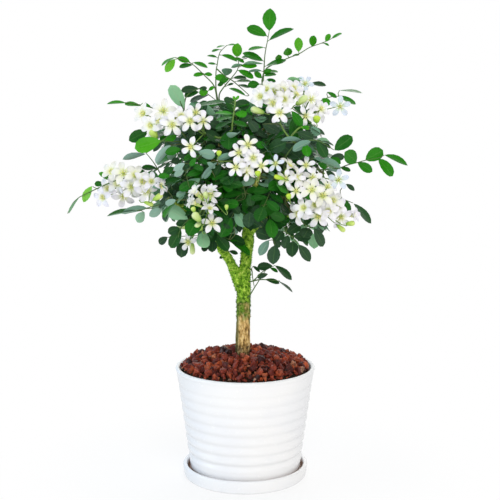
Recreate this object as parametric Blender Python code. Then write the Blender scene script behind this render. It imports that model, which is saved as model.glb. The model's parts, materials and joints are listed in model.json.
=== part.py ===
"""Orange jasmine bonsai in a ribbed white pot on its saucer, as separate solid pieces.

The pot and the saucer are turned, the lava gravel is a relief of loose-looking stones, and the trunk
is one fused piece of wood with its limbs. Each leafy shoot is a twig with pinnate leaves fused to it,
and each flower cluster is a stalk with its stars and buds. Shoots and clusters stand a hair's breadth
off the limb that carries them, and a clearance test keeps every one of them out of the others.

Sizes are in millimetres here and become metres when a mesh is made. +Z is up, the origin is the
centre of the saucer's underside, and -Y faces the viewer.
"""

import math
import random

import bmesh
import bpy
from mathutils import Matrix, Vector
from mathutils.bvhtree import BVHTree
from mathutils.geometry import delaunay_2d_cdt

MM = 0.001
GAP = 0.3
UP = Vector((0, 0, 1))
GOLDEN_ANGLE = math.radians(137.5)

# Pot and saucer
POT_RIM_RADIUS = 80.0
POT_RIM_Z = 129.4
POT_FOOT_RADIUS = 62.8
POT_WALL = 4.5
POT_FLOOR = 6.0
DRAIN_HOLE_RADIUS = 7.0
GROOVE_COUNT = 9
GROOVE_PITCH = 11.45
TOP_GROOVE_Z = 113.8
TOP_GROOVE_DEPTH = 0.6
FOOT_GROOVE_DEPTH = 1.3
SAUCER_RADIUS = 71.9
SAUCER_HEIGHT = 15.6
SAUCER_FLOOR_Z = 6.0
TURNED_SEGMENTS = 28

# Soil and gravel
SOIL_TOP_Z = 112.0
GRAVEL_EDGE_Z = 125.0
GRAVEL_MOUND = 14.0
GRAVEL_VALLEY = 2.4
GRAVEL_TRIES = 6000
STONE_SPACING = 10.6
STONE_OFF_WALL = 5.5
STONE_OFF_TRUNK = 4.6
STONE_TOP_RADIUS = 3.8
TRUNK_HOLE_RADIUS = 8.9
HOLE_SEGMENTS = 16

# Trunk
TRUNK_X = -2.7
TRUNK_FOOT_Z = 97.0
TRUNK_FOOT_RADIUS = 8.3
TRUNK_STRAIGHT_Z = 146.0
TRUNK_SIDES = 12
LIMB_SIDES = 6
LIMB_STEP = 21.0

# Foliage and flowers
TWIG_RADIUS = 1.3
TWIG_SIDES = 3
RACHIS_HALF_WIDTH = 0.8
RACHIS_HALF_DEPTH = 0.6
BLADE_HALF_DEPTH = 0.5
FLOWER_RADIUS = 11.5
PETAL_HALF_WIDTH = 2.7
PETAL_WIDEST_SHARE = 0.62
PETAL_RISE = 1.8
PETAL_TIP_RISE = 0.9
THROAT_RADIUS = 2.3
CALYX_RADIUS = 1.4
CALYX_DEPTH = 1.6
BUD_LENGTH = 11.0
BUD_RADIUS = 2.7
BUD_RINGS = ((0.30, 1.0), (0.72, 0.85))
CLEARANCE = 0.45

# Where leaflets sit on their leaf: a twig covers its heel, and leaflets stand between two shares of it
LEAF_HEEL = 1.4
FIRST_PAIR_SHARE = 0.26
LAST_PAIR_SHARE = 0.82
LEAFLET_SPREAD = math.radians(64)

# A leaflet's outline: share of its length, and share of its half width, + on the side of the leaf's tip
LEAFLET_OUTLINE = ((0.36, -0.80), (0.80, -0.78), (1.0, 0.12), (0.58, 1.0))

# The photograph's viewpoint: where its pixels lie in the world, for placing the crown's pieces
EYE = Vector((5.5, -1150.0, 424.7))
EYE_TILT = 0.140
FOCAL_PX = 1026.8
CENTRE_PX = 250.0

# The crown as an ellipsoid that its leaves fill
CROWN_CENTRE = Vector((-2.7, 0.0, 358.0))
CROWN_HALF = Vector((138.0, 122.0, 98.0))


def from_photo(px, py, depth):
    """World point, in millimetres, seen at a pixel of the photograph, depth mm behind the pot's axis."""
    right = (px - CENTRE_PX) / FOCAL_PX
    rise = (CENTRE_PX - py) / FOCAL_PX
    ray = Vector(
        (
            right,
            rise * math.sin(EYE_TILT) + math.cos(EYE_TILT),
            rise * math.cos(EYE_TILT) - math.sin(EYE_TILT),
        )
    )
    return EYE + ray * ((depth - EYE.y) / ray.y)


# Trunk and limbs as seen: pixel across, pixel down, depth and radius in mm, from below outwards
TRUNK_SEEN = (
    (243.2, 318, 0, 7.6), (243.6, 296, 0, 7.5), (244.6, 276, 0, 6.0),
    (246.4, 256, 0, 5.8), (247.6, 240, 0, 6.6), (248.4, 226, 0, 5.6),
)
LIMBS = (
    (
        (241, 289, 0, 6.0), (234, 270, -3, 4.9), (225, 253, -9, 4.2),
        (207, 231, -18, 3.4), (184, 208, -26, 2.6), (160, 192, -28, 1.9),
    ),
    (
        (248, 236, 0, 5.0), (246, 210, -2, 4.0), (243.7, 189, -4, 3.4),
        (240, 160, 2, 2.8), (232, 128, 8, 2.2), (220, 104, 10, 1.6),
    ),
    (
        (248, 234, 0, 4.6), (259, 221, 6, 3.7), (280, 203, 14, 3.0),
        (304, 187, 14, 2.4), (324, 172, 6, 1.8),
    ),
    (
        (243.5, 184, -2, 2.9), (253, 158, 8, 2.5), (264, 130, 14, 2.1),
        (268, 104, 8, 1.6), (266, 92, 2, 1.3),
    ),
    (
        (247, 226, -1, 3.6), (246, 213, -22, 2.9), (252, 194, -46, 2.3),
        (260, 174, -62, 1.6),
    ),
    (
        (244, 196, -4, 3.0), (230, 178, -26, 2.5), (212, 160, -46, 2.0),
        (198, 146, -56, 1.5),
    ),
    (
        (247, 224, 2, 3.8), (247, 200, 30, 3.0), (244, 172, 56, 2.4),
        (240, 148, 72, 1.6),
    ),
    (
        (243, 194, 0, 3.0), (222, 180, 32, 2.4), (198, 166, 56, 1.7),
    ),
    (
        (254, 226, 4, 3.4), (274, 208, 34, 2.7), (294, 186, 58, 1.7),
    ),
    (
        (240, 162, 1, 2.5), (220, 144, -4, 2.2), (192, 126, -12, 1.8),
        (166, 114, -14, 1.3),
    ),
    (
        (250, 232, -2, 3.4), (264, 224, -24, 2.8), (288, 216, -44, 2.2),
        (308, 210, -48, 1.6),
    ),
)

# Flower clusters as seen: name, open stars and buds, each a pixel across and down
CLUSTERS = (
    (
        "top_right",
        ((259, 97), (267, 89), (277, 92), (270, 103), (284, 100), (280, 113), (290, 88), (296, 95)),
        ((255, 111), (301, 101)),
    ),
    (
        "top_far_right",
        ((311, 101), (310, 114), (321, 109), (305, 83), (340, 107)),
        ((317, 120),),
    ),
    (
        "top_left",
        ((145, 114), (163, 110), (151, 127), (173, 125), (181, 116)),
        ((153, 136),),
    ),
    (
        "upper_left",
        ((190, 121), (203, 120), (195, 110), (191, 147)),
        (),
    ),
    (
        "left",
        (
            (124, 173), (113, 173), (135, 175), (118, 185), (105, 195), (123, 197), (133, 187), (142, 180),
            (147, 191), (159, 184),
        ),
        ((159, 195), (148, 203)),
    ),
    (
        "lower_left",
        ((211, 187), (194, 190), (191, 201), (211, 203), (214, 221), (188, 241)),
        ((206, 196), (197, 217), (193, 209), (184, 227), (199, 227), (192, 251)),
    ),
    (
        "centre",
        ((248, 145), (239, 153), (253, 158), (236, 167), (248, 171), (261, 166)),
        ((258, 175), (221, 154)),
    ),
    (
        "centre_right",
        ((277, 164), (285, 179), (296, 178), (313, 178), (307, 165), (296, 190)),
        ((277, 177), (289, 197)),
    ),
    (
        "right",
        (
            (300, 212), (304, 203), (315, 204), (322, 195), (314, 191), (327, 187), (318, 217), (329, 209),
            (338, 203), (341, 217),
        ),
        ((350, 223), (341, 229)),
    ),
    (
        "far_right",
        ((338, 180),),
        (),
    ),
)

# Clusters on the side away from the viewer: direction from the crown's centre, and number of stars
BACK_CLUSTERS = (
    ("back_left", (-0.66, 0.70, 0.28), 4),
    ("back_right", (0.60, 0.76, 0.25), 4),
    ("back_low", (0.0, 0.97, -0.24), 3),
)

# Leaves that show against the sky: base and tip pixels with their depths, leaflets, leaflet length,
# half width, droop in degrees, and the way the blade's upper face looks
SHOWN_LEAVES = (
    ((264, 84, -4), (270, 9, -12), 6, 25.0, 8.4, 6, (0.1, -1.0, 0.1)),
    ((268, 78, 4), (341, 32, 12), 9, 12.5, 5.2, -6, (-0.4, -0.9, 0.6)),
    ((218, 98, 12), (229, 44, 20), 7, 12.0, 5.4, 10, (-0.9, -0.2, 0.5)),
    ((215, 92, -6), (161, 60, -16), 7, 14.0, 6.0, 14, (-0.3, -0.6, 1.0)),
    ((166, 113, -6), (108, 102, -6), 6, 15.0, 6.0, 16, (0.1, -0.35, 1.0)),
    ((172, 116, -22), (171, 84, -34), 3, 26.0, 8.2, 8, (-0.3, -1.0, 0.2)),
    ((160, 150, -40), (126, 141, -48), 3, 23.0, 8.2, 24, (0.0, -0.9, 0.7)),
    ((164, 178, -36), (130, 154, -40), 4, 19.0, 6.4, 10, (0.3, -0.5, 1.0)),
    ((112, 184, -12), (68, 213, -20), 5, 18.0, 6.8, 30, (0.1, -0.8, 0.8)),
    ((166, 203, -40), (106, 216, -34), 5, 19.0, 7.0, 18, (0.1, -0.6, 0.9)),
    ((316, 170, -16), (408, 164, -28), 7, 20.0, 7.6, 14, (0.1, -1.0, 0.5)),
    ((316, 112, 22), (364, 92, 30), 6, 15.0, 5.0, 12, (0.3, -0.3, 1.0)),
    ((290, 98, 20), (326, 84, 26), 4, 15.0, 5.0, 12, (0.2, -0.4, 1.0)),
    ((336, 192, 12), (373, 224, 6), 4, 22.0, 6.8, 26, (0.6, -0.6, 0.7)),
    ((280, 226, -52), (274, 263, -66), 3, 21.0, 8.0, 16, (0.1, -1.0, 0.25)),
    ((292, 224, -50), (310, 263, -58), 4, 20.0, 7.6, 16, (0.3, -1.0, 0.2)),
    ((306, 218, -46), (326, 246, -50), 3, 21.0, 7.6, 12, (0.3, -1.0, 0.3)),
    ((192, 226, -34), (158, 254, -40), 4, 21.0, 7.4, 22, (-0.2, -1.0, 0.5)),
    ((218, 234, -26), (250, 256, -40), 3, 22.0, 7.4, 14, (-0.2, -1.0, 0.5)),
    ((253, 281, -10), (293, 289, -20), 4, 19.0, 6.4, 30, (0.2, -0.7, 1.0)),
    ((326, 152, 16), (354, 138, 14), 3, 20.0, 8.2, 10, (0.2, -1.0, 0.3)),
)

# Filler shoots cover what the shown leaves and clusters leave bare, evenly on all sides
FILLER_SHOOTS = 20
FILLER_LEAVES = 3
FILLER_LEAFLETS = 4
FILLER_RACHIS = 44.0
FILLER_LEAFLET = 26.0
FILLER_HALF_WIDTH = 8.8
FILLER_ATTEMPTS = 26

# How twigs and stalks find the wood, and how clusters are spread behind what shows
SEAT_STEP = 4.0
SEATS_TRIED = 60
SHORTEST_TWIG = 16.0
SHORTEST_STALK = 8.0
TWIG_PAST_LEAF = 1.7
STAR_SHIFTS = (0, 4, -4, 8, -8, 12, -12, 16)
STAR_TURNS = (0.0, 0.42, 0.84)
LEAF_SLIDES = (0, 8, -8, 16, -16, 24, -24, 34)
FILLER_REACHES = (0.62, 0.54, 0.70, 0.46, 0.38)
TWIG_OFFSETS = (0.0, 0.25, 0.5)
TWIG_LIFTS = (0.0, 0.18, -0.18)
HUB_DEPTH = 19.0
HUB_DEPTH_A_STAR = 0.7
HUB_RADIUS = 3.2
BACK_CLUSTER_SHARE = 0.97
BACK_CLUSTER_RADIUS = 19.0
VIEW_DEPTH = 45.0
VIEW_RADIUS = 13.0

BARK_GREEN = (0.25, 0.36, 0.07)
LEAF_GREEN = (0.035, 0.16, 0.035)
PETAL_WHITE = (0.87, 0.87, 0.84)
GLAZE_WHITE = (0.86, 0.86, 0.87)
LAVA_RED = (0.19, 0.045, 0.025)
SOIL_BROWN = (0.035, 0.022, 0.014)


# Meshes


def tube(points, radii, sides):
    """Closed bar along points: a ring of vertices at each one, twisted as little as can be."""
    vertices, faces = [], []
    ahead = (points[1] - points[0]).normalized()
    side = ahead.orthogonal().normalized()
    for i, point in enumerate(points):
        before, after = points[max(i - 1, 0)], points[min(i + 1, len(points) - 1)]
        tangent = (after - before).normalized()
        side = (side - tangent * side.dot(tangent)).normalized()
        other = tangent.cross(side)
        for k in range(sides):
            angle = 2 * math.pi * k / sides
            vertices.append(point + (side * math.cos(angle) + other * math.sin(angle)) * radii[i])
    for i in range(len(points) - 1):
        for k in range(sides):
            a, b = i * sides + k, i * sides + (k + 1) % sides
            faces.append((a, b, b + sides, a + sides))
    faces.append(tuple(reversed(range(sides))))
    faces.append(tuple(range(len(vertices) - sides, len(vertices))))
    return vertices, faces


def smooth_path(points, step):
    """Points about step apart on a Catmull-Rom curve through the given ones."""
    path = []
    for i in range(len(points) - 1):
        p0, p1 = points[max(i - 1, 0)], points[i]
        p2, p3 = points[i + 1], points[min(i + 2, len(points) - 1)]
        pieces = max(1, round((p2 - p1).length / step))
        for k in range(pieces):
            t = k / pieces
            squared = 2 * p0 - 5 * p1 + 4 * p2 - p3
            cubed = 3 * p1 - p0 - 3 * p2 + p3
            path.append(0.5 * (2 * p1 + (p2 - p0) * t + squared * t**2 + cubed * t**3))
    path.append(points[-1].copy())
    return path


def material_of(name, color, roughness):
    """Principled material of one plain colour."""
    made = bpy.data.materials.new(name)
    made.use_nodes = True
    shader = made.node_tree.nodes["Principled BSDF"]
    shader.inputs["Base Color"].default_value = (*color, 1.0)
    shader.inputs["Roughness"].default_value = roughness
    return made


def solid(name, shape, material=None):
    """Object of one closed mesh, given as (vertices in mm, faces), with its faces turned outwards."""
    mesh = bpy.data.meshes.new(name)
    mesh.from_pydata([v * MM for v in shape[0]], [], shape[1])
    build = bmesh.new()
    build.from_mesh(mesh)
    bmesh.ops.recalc_face_normals(build, faces=build.faces)
    build.to_mesh(mesh)
    build.free()
    made = bpy.data.objects.new(name, mesh)
    bpy.context.scene.collection.objects.link(made)
    if material:
        mesh.materials.append(material)
    return made


def fused(name, shapes, material):
    """One object from several closed shapes that sink into each other, joined by one Boolean union."""
    base = solid(name, shapes[0], material)
    gathered = bpy.data.collections.new(name + "_repeats")
    bpy.context.scene.collection.children.link(gathered)
    for i, shape in enumerate(shapes[1:]):
        piece = solid(f"{name}_{i}", shape)
        bpy.context.scene.collection.objects.unlink(piece)
        gathered.objects.link(piece)
    union = base.modifiers.new("union", "BOOLEAN")
    union.operation = "UNION"
    union.operand_type = "COLLECTION"
    union.collection = gathered
    union.solver = "MANIFOLD"
    bpy.context.view_layer.update()
    evaluated = base.evaluated_get(bpy.context.evaluated_depsgraph_get())
    joined = bpy.data.meshes.new_from_object(evaluated)
    base.modifiers.remove(union)
    base.data = joined
    joined.name = name
    joined.materials.clear()
    joined.materials.append(material)
    for piece in list(gathered.objects):
        bpy.data.objects.remove(piece)
    bpy.data.collections.remove(gathered)
    return base


def turned(name, profile, material):
    """Solid of revolution from (radius, z) points. A profile that isn't closed ends on the axis."""
    build = bmesh.new()
    points = [build.verts.new(Vector((r, 0, z)) * MM) for r, z in profile]
    edges = [build.edges.new(pair) for pair in zip(points, points[1:])]
    if profile[0][0] > 0:
        edges.append(build.edges.new((points[-1], points[0])))
    bmesh.ops.spin(
        build,
        geom=points + edges,
        axis=UP,
        cent=(0, 0, 0),
        angle=2 * math.pi,
        steps=TURNED_SEGMENTS,
        use_merge=True,
        use_duplicate=False,
    )
    bmesh.ops.remove_doubles(build, verts=build.verts, dist=1e-6)
    bmesh.ops.recalc_face_normals(build, faces=build.faces)
    mesh = bpy.data.meshes.new(name)
    build.to_mesh(mesh)
    build.free()
    mesh.materials.append(material)
    mesh.shade_smooth()
    mesh.set_sharp_from_angle(angle=math.radians(35))
    made = bpy.data.objects.new(name, mesh)
    bpy.context.scene.collection.objects.link(made)
    return made


# Clearance


class Placed:
    """What stands in the crown so far, for testing whether a new shape is clear of it."""

    def __init__(self):
        self.items = []

    def add(self, shape, owner):
        centre = sum(shape[0], Vector()) / len(shape[0])
        radius = max((v - centre).length for v in shape[0])
        self.items.append((BVHTree.FromPolygons(shape[0], shape[1]), centre, radius, owner))

    def hits(self, shape, passing=()):
        centre = sum(shape[0], Vector()) / len(shape[0])
        radius = max((v - centre).length for v in shape[0])
        tree = None
        for other, at, reach, owner in self.items:
            if owner in passing or (at - centre).length > reach + radius:
                continue
            tree = tree or BVHTree.FromPolygons(shape[0], shape[1])
            if tree.overlap(other):
                return True
        return False


def crosses_itself(shape):
    """True where two faces of one shape cross without sharing a corner."""
    vertices, faces = shape
    tree = BVHTree.FromPolygons(vertices, faces)
    return any(i < j and not set(faces[i]) & set(faces[j]) for i, j in tree.overlap(tree))


# Pinnate leaves


class Leaf:
    """One pinnate leaf: an arched rachis with leaflets left and right in turn and one at its tip.

    stalk holds the points of the twig that leads from the wood to the base, where the leaf has its own.
    """

    stalk = ()

    def __init__(self, base, ahead, face, rachis, leaflets, length, half_width, droop, roll):
        self.base, self.rachis, self.leaflets = base, rachis, leaflets
        self.length, self.half_width, self.roll = length, half_width, roll
        self.droop = droop or 1e-4
        self.ahead = ahead.normalized()
        self.face = (face - self.ahead * face.dot(self.ahead)).normalized()

    def station(self, share):
        """Point, direction and upper side of the rachis at a share of its length."""
        turn = self.droop * share
        forward = self.rachis * math.sin(turn) / self.droop
        fall = self.rachis * (1 - math.cos(turn)) / self.droop
        point = self.base + self.ahead * forward - self.face * fall
        ahead = self.ahead * math.cos(turn) - self.face * math.sin(turn)
        face = self.ahead * math.sin(turn) + self.face * math.cos(turn)
        return point, ahead, face

    def stem_stations(self):
        """Point, direction and upper side where the blade's stem starts and where it bends."""
        if not self.stalk:
            return [self.station(LEAF_HEEL / self.rachis)]
        start, middle = self.stalk
        stations = []
        for point, ahead in (
            (start + (middle - start).normalized() * LEAF_HEEL, middle - start),
            (middle, self.base - start),
        ):
            ahead = ahead.normalized()
            stations.append((point, ahead, (self.face - ahead * self.face.dot(ahead)).normalized()))
        return stations + [(self.base, self.ahead, self.face)]

    def leaflet_frames(self):
        """(share of the rachis, side, base, along, towards the leaf's tip, normal, length, half width)."""
        frames = []
        beside = self.leaflets - 1
        step = (LAST_PAIR_SHARE - FIRST_PAIR_SHARE) / max(beside - 1, 1)
        widest = 0.43 * 2 * step * self.rachis * math.sin(LEAFLET_SPREAD)
        for k in range(beside):
            share = FIRST_PAIR_SHARE + step * k
            side = 1 if k % 2 else -1
            point, ahead, face = self.station(share)
            outwards = face.cross(ahead) * side
            along = ahead * math.cos(LEAFLET_SPREAD) + outwards * math.sin(LEAFLET_SPREAD)
            forwards = ahead * math.sin(LEAFLET_SPREAD) - outwards * math.cos(LEAFLET_SPREAD)
            tilt = Matrix.Rotation(self.roll * side + 0.22 * math.sin(5 * k + 9 * self.roll), 3, along)
            size = 0.82 + 0.18 * math.sin(math.pi * share)
            width = min(self.half_width * size, widest)
            forwards, normal = tilt @ forwards, tilt @ face
            frames.append((share, side, point, along, forwards, normal, self.length * size, width))
        point, ahead, face = self.station(1.0)
        across = -face.cross(ahead)
        frames.append((1.0, 0, point, ahead, across, face, self.length * 1.08, self.half_width * 1.05))
        return frames


def leaflet_points(base, along, forwards, normal, length, half_width, swell):
    """Outline of a leaflet from its heel round its tip, and its middle's upper and lower point."""
    outline = []
    for share, width in LEAFLET_OUTLINE:
        flat = along * (share * (length + swell)) + forwards * (width * (half_width + swell))
        cupped = normal * (abs(width) * 0.12 * half_width - 0.10 * length * share**2)
        outline.append(base + flat + cupped)
    middle = base + along * (0.56 * length) - normal * (0.03 * length)
    depth = BLADE_HALF_DEPTH + swell
    return outline, middle + normal * depth, middle - normal * depth


def leaf_blade(leaf, swell=0.0):
    """A whole leaf as one closed blade: an upper and a lower sheet that share their outline.

    The sheets part along the rachis and in the middle of each leaflet. Triangles are listed once, for
    one sheet, with outline points as whole numbers and parted points as ("rib", number).
    """
    rim, ribs, sheet = [], [], []

    def outline(point):
        rim.append(point)
        return len(rim) - 1

    def rib(upper, lower):
        ribs.append((upper, lower))
        return ("rib", len(ribs) - 1)

    def spread_leaflet(frame, spine_point, near, far):
        share, side, base, along, forwards, normal, length, width = frame
        loop, upper, lower = leaflet_points(base, along, forwards, normal, length, width, swell)
        middle = rib(upper, lower)
        ring = [near, *(outline(point) for point in loop), far]
        sheet.extend((a, b, middle) for a, b in zip(ring, ring[1:]))
        sheet.extend([(spine_point, near, middle), (spine_point, middle, far)])

    frames = leaf.leaflet_frames()
    half_width, half_depth = RACHIS_HALF_WIDTH + swell, RACHIS_HALF_DEPTH + swell
    stem = leaf.stem_stations()
    spine = []
    for point, ahead, face in stem + [leaf.station(frame[0]) for frame in frames]:
        spine.append(rib(point + face * half_depth, point - face * half_depth))
    root = outline(leaf.stalk[0].copy() if leaf.stalk else leaf.base.copy())
    ends = {}
    for side in (1, -1):
        anchors = [(0, root)]
        for k, (point, ahead, face) in enumerate(stem):
            anchors.append((k, outline(point + face.cross(ahead) * side * half_width)))
        for k, frame in enumerate(frames, start=len(stem)):
            point, ahead, face = leaf.station(frame[0])
            edge = point + face.cross(ahead) * side * half_width
            if frame[1] == side:
                near, far = outline(edge - ahead), outline(edge + ahead)
                spread_leaflet(frame, spine[k], near, far)
                anchors += [(k, near), (k, far)]
            elif frame[1] == 0:
                ends[side] = outline(edge)
                anchors.append((k, ends[side]))
        for (i, u), (j, v) in zip(anchors, anchors[1:]):
            if i == j and u != root:
                continue
            sheet.extend((spine[t], spine[t + 1], u) for t in range(i, j))
            sheet.append((spine[j], v, u))
    spread_leaflet(frames[-1], spine[-1], ends[1], ends[-1])

    vertices = rim + [upper for upper, lower in ribs] + [lower for upper, lower in ribs]

    def numbered(corner, below):
        return corner if isinstance(corner, int) else len(rim) + corner[1] + below * len(ribs)

    faces = [tuple(numbered(c, 0) for c in triangle) for triangle in sheet]
    faces += [tuple(numbered(c, 1) for c in reversed(triangle)) for triangle in sheet]
    return vertices, faces


# Flowers


def star_flower(centre, facing, spin, stalk_end, swell=0.0):
    """Five-petalled star as one closed shape that runs down to a point, its stalk's lower end.

    vertices holds the throat, the stalk's end, three calyx corners, then four points for each petal:
    the notch before it, its two wide corners and its tip between them.
    """
    facing = facing.normalized()
    side = facing.orthogonal().normalized()
    other = facing.cross(side)

    def at(radius, angle, across, rise):
        radial = side * math.cos(angle) + other * math.sin(angle)
        sideways = other * math.cos(angle) - side * math.sin(angle)
        return centre + radial * radius + sideways * across + facing * rise

    fifth = 2 * math.pi / 5
    reach, width = FLOWER_RADIUS + swell, PETAL_HALF_WIDTH + swell
    vertices = [centre - facing * (0.5 - swell), stalk_end.copy()]
    for petal_gap in (0.5, 2.5, 4.0):
        vertices.append(at(CALYX_RADIUS + swell, spin + fifth * petal_gap, 0, -CALYX_DEPTH - swell))
    for petal in range(5):
        angle = spin + fifth * petal
        vertices.append(at(THROAT_RADIUS + swell, angle - fifth / 2, 0, GAP))
        vertices.append(at(reach * PETAL_WIDEST_SHARE, angle, -width, PETAL_RISE))
        vertices.append(at(reach, angle, 0, PETAL_TIP_RISE))
        vertices.append(at(reach * PETAL_WIDEST_SHARE, angle, width, PETAL_RISE))
    faces = []
    under_petal = (2, 2, 3, 3, 4)
    for k in range(20):
        a, b = 5 + k, 5 + (k + 1) % 20
        under, under_next = under_petal[k // 4], under_petal[(k + 1) % 20 // 4]
        faces += [(0, a, b), (under, b, a)]
        if under != under_next:
            faces += [(b, under, under_next), (under, 1, under_next)]
    return vertices, faces


def flower_bud(tip, facing, stalk_end, swell=0.0):
    """Closed spindle: a blunt bud that tapers into its stalk."""
    facing = facing.normalized()
    side = facing.orthogonal().normalized()
    other = facing.cross(side)
    vertices, faces = [tip + facing * swell, stalk_end.copy()], []
    for share, swelling in BUD_RINGS:
        radius = BUD_RADIUS * swelling
        for k in range(4):
            angle = math.pi / 2 * k
            spoke = side * math.cos(angle) + other * math.sin(angle)
            vertices.append(tip - facing * (BUD_LENGTH * share) + spoke * (radius + swell))
    for k in range(4):
        after = (k + 1) % 4
        faces += [(0, 2 + k, 2 + after), (1, 6 + after, 6 + k), (2 + k, 6 + k, 6 + after, 2 + after)]
    return vertices, faces


def knot(centre, radius):
    """Eight-faced knot where a cluster's stalks meet."""
    axes = ((1, 0, 0), (0, 1, 0), (-1, 0, 0), (0, -1, 0), (0, 0, 1), (0, 0, -1))
    vertices = [centre + Vector(axis) * radius for axis in axes]
    faces = []
    for k in range(4):
        after = (k + 1) % 4
        faces += [(k, after, 4), (after, k, 5)]
    return vertices, faces


# Crown layout


def crown_share(point):
    """0 at the crown's centre, 1 on its surface."""
    offset = point - CROWN_CENTRE
    return math.sqrt(sum((offset[i] / CROWN_HALF[i]) ** 2 for i in range(3)))


def front_depth(px, py):
    """Depth of the crown's near surface at a pixel, or a little behind its edge outside it."""
    centre = from_photo(px, py, 0.0)
    across = ((centre.x - CROWN_CENTRE.x) / CROWN_HALF.x) ** 2
    rise = ((centre.z - CROWN_CENTRE.z) / CROWN_HALF.z) ** 2
    return -CROWN_HALF.y * 0.92 * math.sqrt(max(0.03, 1 - 0.9 * across - 0.9 * rise))


def limb_paths():
    """Smooth centrelines of the trunk and its limbs, each a list of (point, radius)."""
    foot = Vector((TRUNK_X, 0, TRUNK_FOOT_Z))
    straight = Vector((TRUNK_X, 0, TRUNK_STRAIGHT_Z))
    trunk = [(foot, TRUNK_FOOT_RADIUS), (straight, TRUNK_FOOT_RADIUS)]
    trunk += [(from_photo(px, py, depth), radius) for px, py, depth, radius in TRUNK_SEEN]
    paths = [trunk]
    for limb in LIMBS:
        points = smooth_path([from_photo(*seen[:3]) for seen in limb], LIMB_STEP)
        total = sum((b - a).length for a, b in zip(points, points[1:]))
        walked, path = 0.0, []
        for i, point in enumerate(points):
            walked += (point - points[i - 1]).length if i else 0.0
            place = walked / total * (len(limb) - 1)
            k = min(int(place), len(limb) - 2)
            radius = limb[k][3] + (limb[k + 1][3] - limb[k][3]) * (place - k)
            path.append((point, radius))
        paths.append(path)
    return paths


def seats_near(paths, point):
    """The places on the wood nearest to a point, as (place on the centreline, radius there)."""
    seats = []
    for path in paths:
        for (a, thick_a), (b, thick_b) in zip(path, path[1:]):
            steps = max(1, round((b - a).length / SEAT_STEP))
            for k in range(steps):
                t = (k + 0.5) / steps
                seats.append((a.lerp(b, t), thick_a + (thick_b - thick_a) * t))
    seats.sort(key=lambda seat: (seat[0] - point).length)
    return seats[:SEATS_TRIED]


def twig_to(paths, placed, goal, arrival, shortest, passing=()):
    """Clear twig from just off the wood to a goal and a little past it, as (points, radii), or None."""
    radii = [TWIG_RADIUS, TWIG_RADIUS * 0.85, TWIG_RADIUS * 0.7]
    swollen = [radius + CLEARANCE for radius in radii]
    for seat, thick in seats_near(paths, goal):
        span = (goal - seat).length
        if span < shortest:
            continue
        for lift in TWIG_LIFTS:
            middle = seat.lerp(goal - arrival * (0.4 * span), 0.62) + UP * (lift * span)
            leaving = (middle - seat).normalized()
            for off in TWIG_OFFSETS:
                start = seat + leaving * (thick + GAP + off)
                path = [start, middle, goal + arrival * TWIG_PAST_LEAF]
                past_start = [start.lerp(middle, 0.2), *path[1:]]
                if placed.hits(tube(path, radii, TWIG_SIDES), passing):
                    continue
                if not placed.hits(tube(past_start, swollen, TWIG_SIDES), passing):
                    return path, radii
    return None


def clear_star(placed, spot, line, facing, spin, name):
    """Place for a star on its line of sight: clear of other pieces, and of its own cluster if it can be."""
    crowded = None
    for shift in STAR_SHIFTS:
        centre = spot + line * shift
        for turn in STAR_TURNS:
            stub = centre - facing * 4
            if placed.hits(star_flower(centre, facing, spin + turn, stub, CLEARANCE), (name,)):
                continue
            if not placed.hits(star_flower(centre, facing, spin + turn, stub)):
                return centre, facing, spin + turn
            crowded = crowded or (centre, facing, spin + turn)
    return crowded


def wanted_clusters():
    """(name, where its stars are, where its buds are) of every cluster, shown ones first."""
    wanted = []
    for name, stars, buds in CLUSTERS:
        spots = [from_photo(px, py, front_depth(px, py)) for px, py in stars]
        bud_spots = [from_photo(px, py, front_depth(px, py)) for px, py in buds]
        wanted.append((name, spots, bud_spots))
    for name, direction, count in BACK_CLUSTERS:
        outward = Vector(direction).normalized()
        middle = CROWN_CENTRE + outward * CROWN_HALF * BACK_CLUSTER_SHARE
        side = outward.cross(UP).normalized()
        rise = side.cross(outward)
        spots = []
        for k in range(count):
            angle, reach = GOLDEN_ANGLE * k, BACK_CLUSTER_RADIUS * math.sqrt(k / count)
            spots.append(middle + side * reach * math.cos(angle) + rise * reach * math.sin(angle))
        wanted.append((name, spots, []))
    return wanted


def place_clusters(paths, placed):
    """Flower clusters as dicts of hub, stars, buds and stalk, clear of the wood and of each other."""
    clusters = []
    draw = random.Random(11)
    for name, spots, bud_spots in wanted_clusters():
        middle = sum(spots, Vector()) / len(spots)
        inward = (CROWN_CENTRE - middle).normalized()
        hub = middle + inward * (HUB_DEPTH + HUB_DEPTH_A_STAR * len(spots))
        stars, buds = [], []
        for spot in spots:
            from_eye = (spot - EYE).normalized() if spot.y < CROWN_CENTRE.y else inward
            facing = ((spot - hub).normalized() - from_eye * 0.35 + UP * 0.12).normalized()
            star = clear_star(placed, spot, from_eye, facing, draw.uniform(0, 2 * math.pi), name)
            if star:
                stars.append(star)
                placed.add(star_flower(*star, star[0].lerp(hub, 0.9)), name)
        for spot in bud_spots:
            facing = ((spot - hub).normalized() + UP * 0.1).normalized()
            alone = flower_bud(spot, facing, spot - facing * BUD_LENGTH * 1.2, CLEARANCE)
            if not placed.hits(alone, (name,)):
                buds.append((spot, facing))
                placed.add(flower_bud(spot, facing, hub.lerp(spot, 0.1)), name)
        clusters.append({"name": name, "hub": hub, "stars": stars, "buds": buds})
    for cluster in clusters:
        outward = (cluster["hub"] - CROWN_CENTRE).normalized()
        cluster["stalk"] = twig_to(paths, placed, cluster["hub"], outward, SHORTEST_STALK, (cluster["name"],))
        if cluster["stalk"]:
            placed.add(tube(*cluster["stalk"], TWIG_SIDES), cluster["name"])
        else:
            print(cluster["name"], "found no way for its stalk")
        placed.add(knot(cluster["hub"], HUB_RADIUS), cluster["name"])
    return clusters


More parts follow.
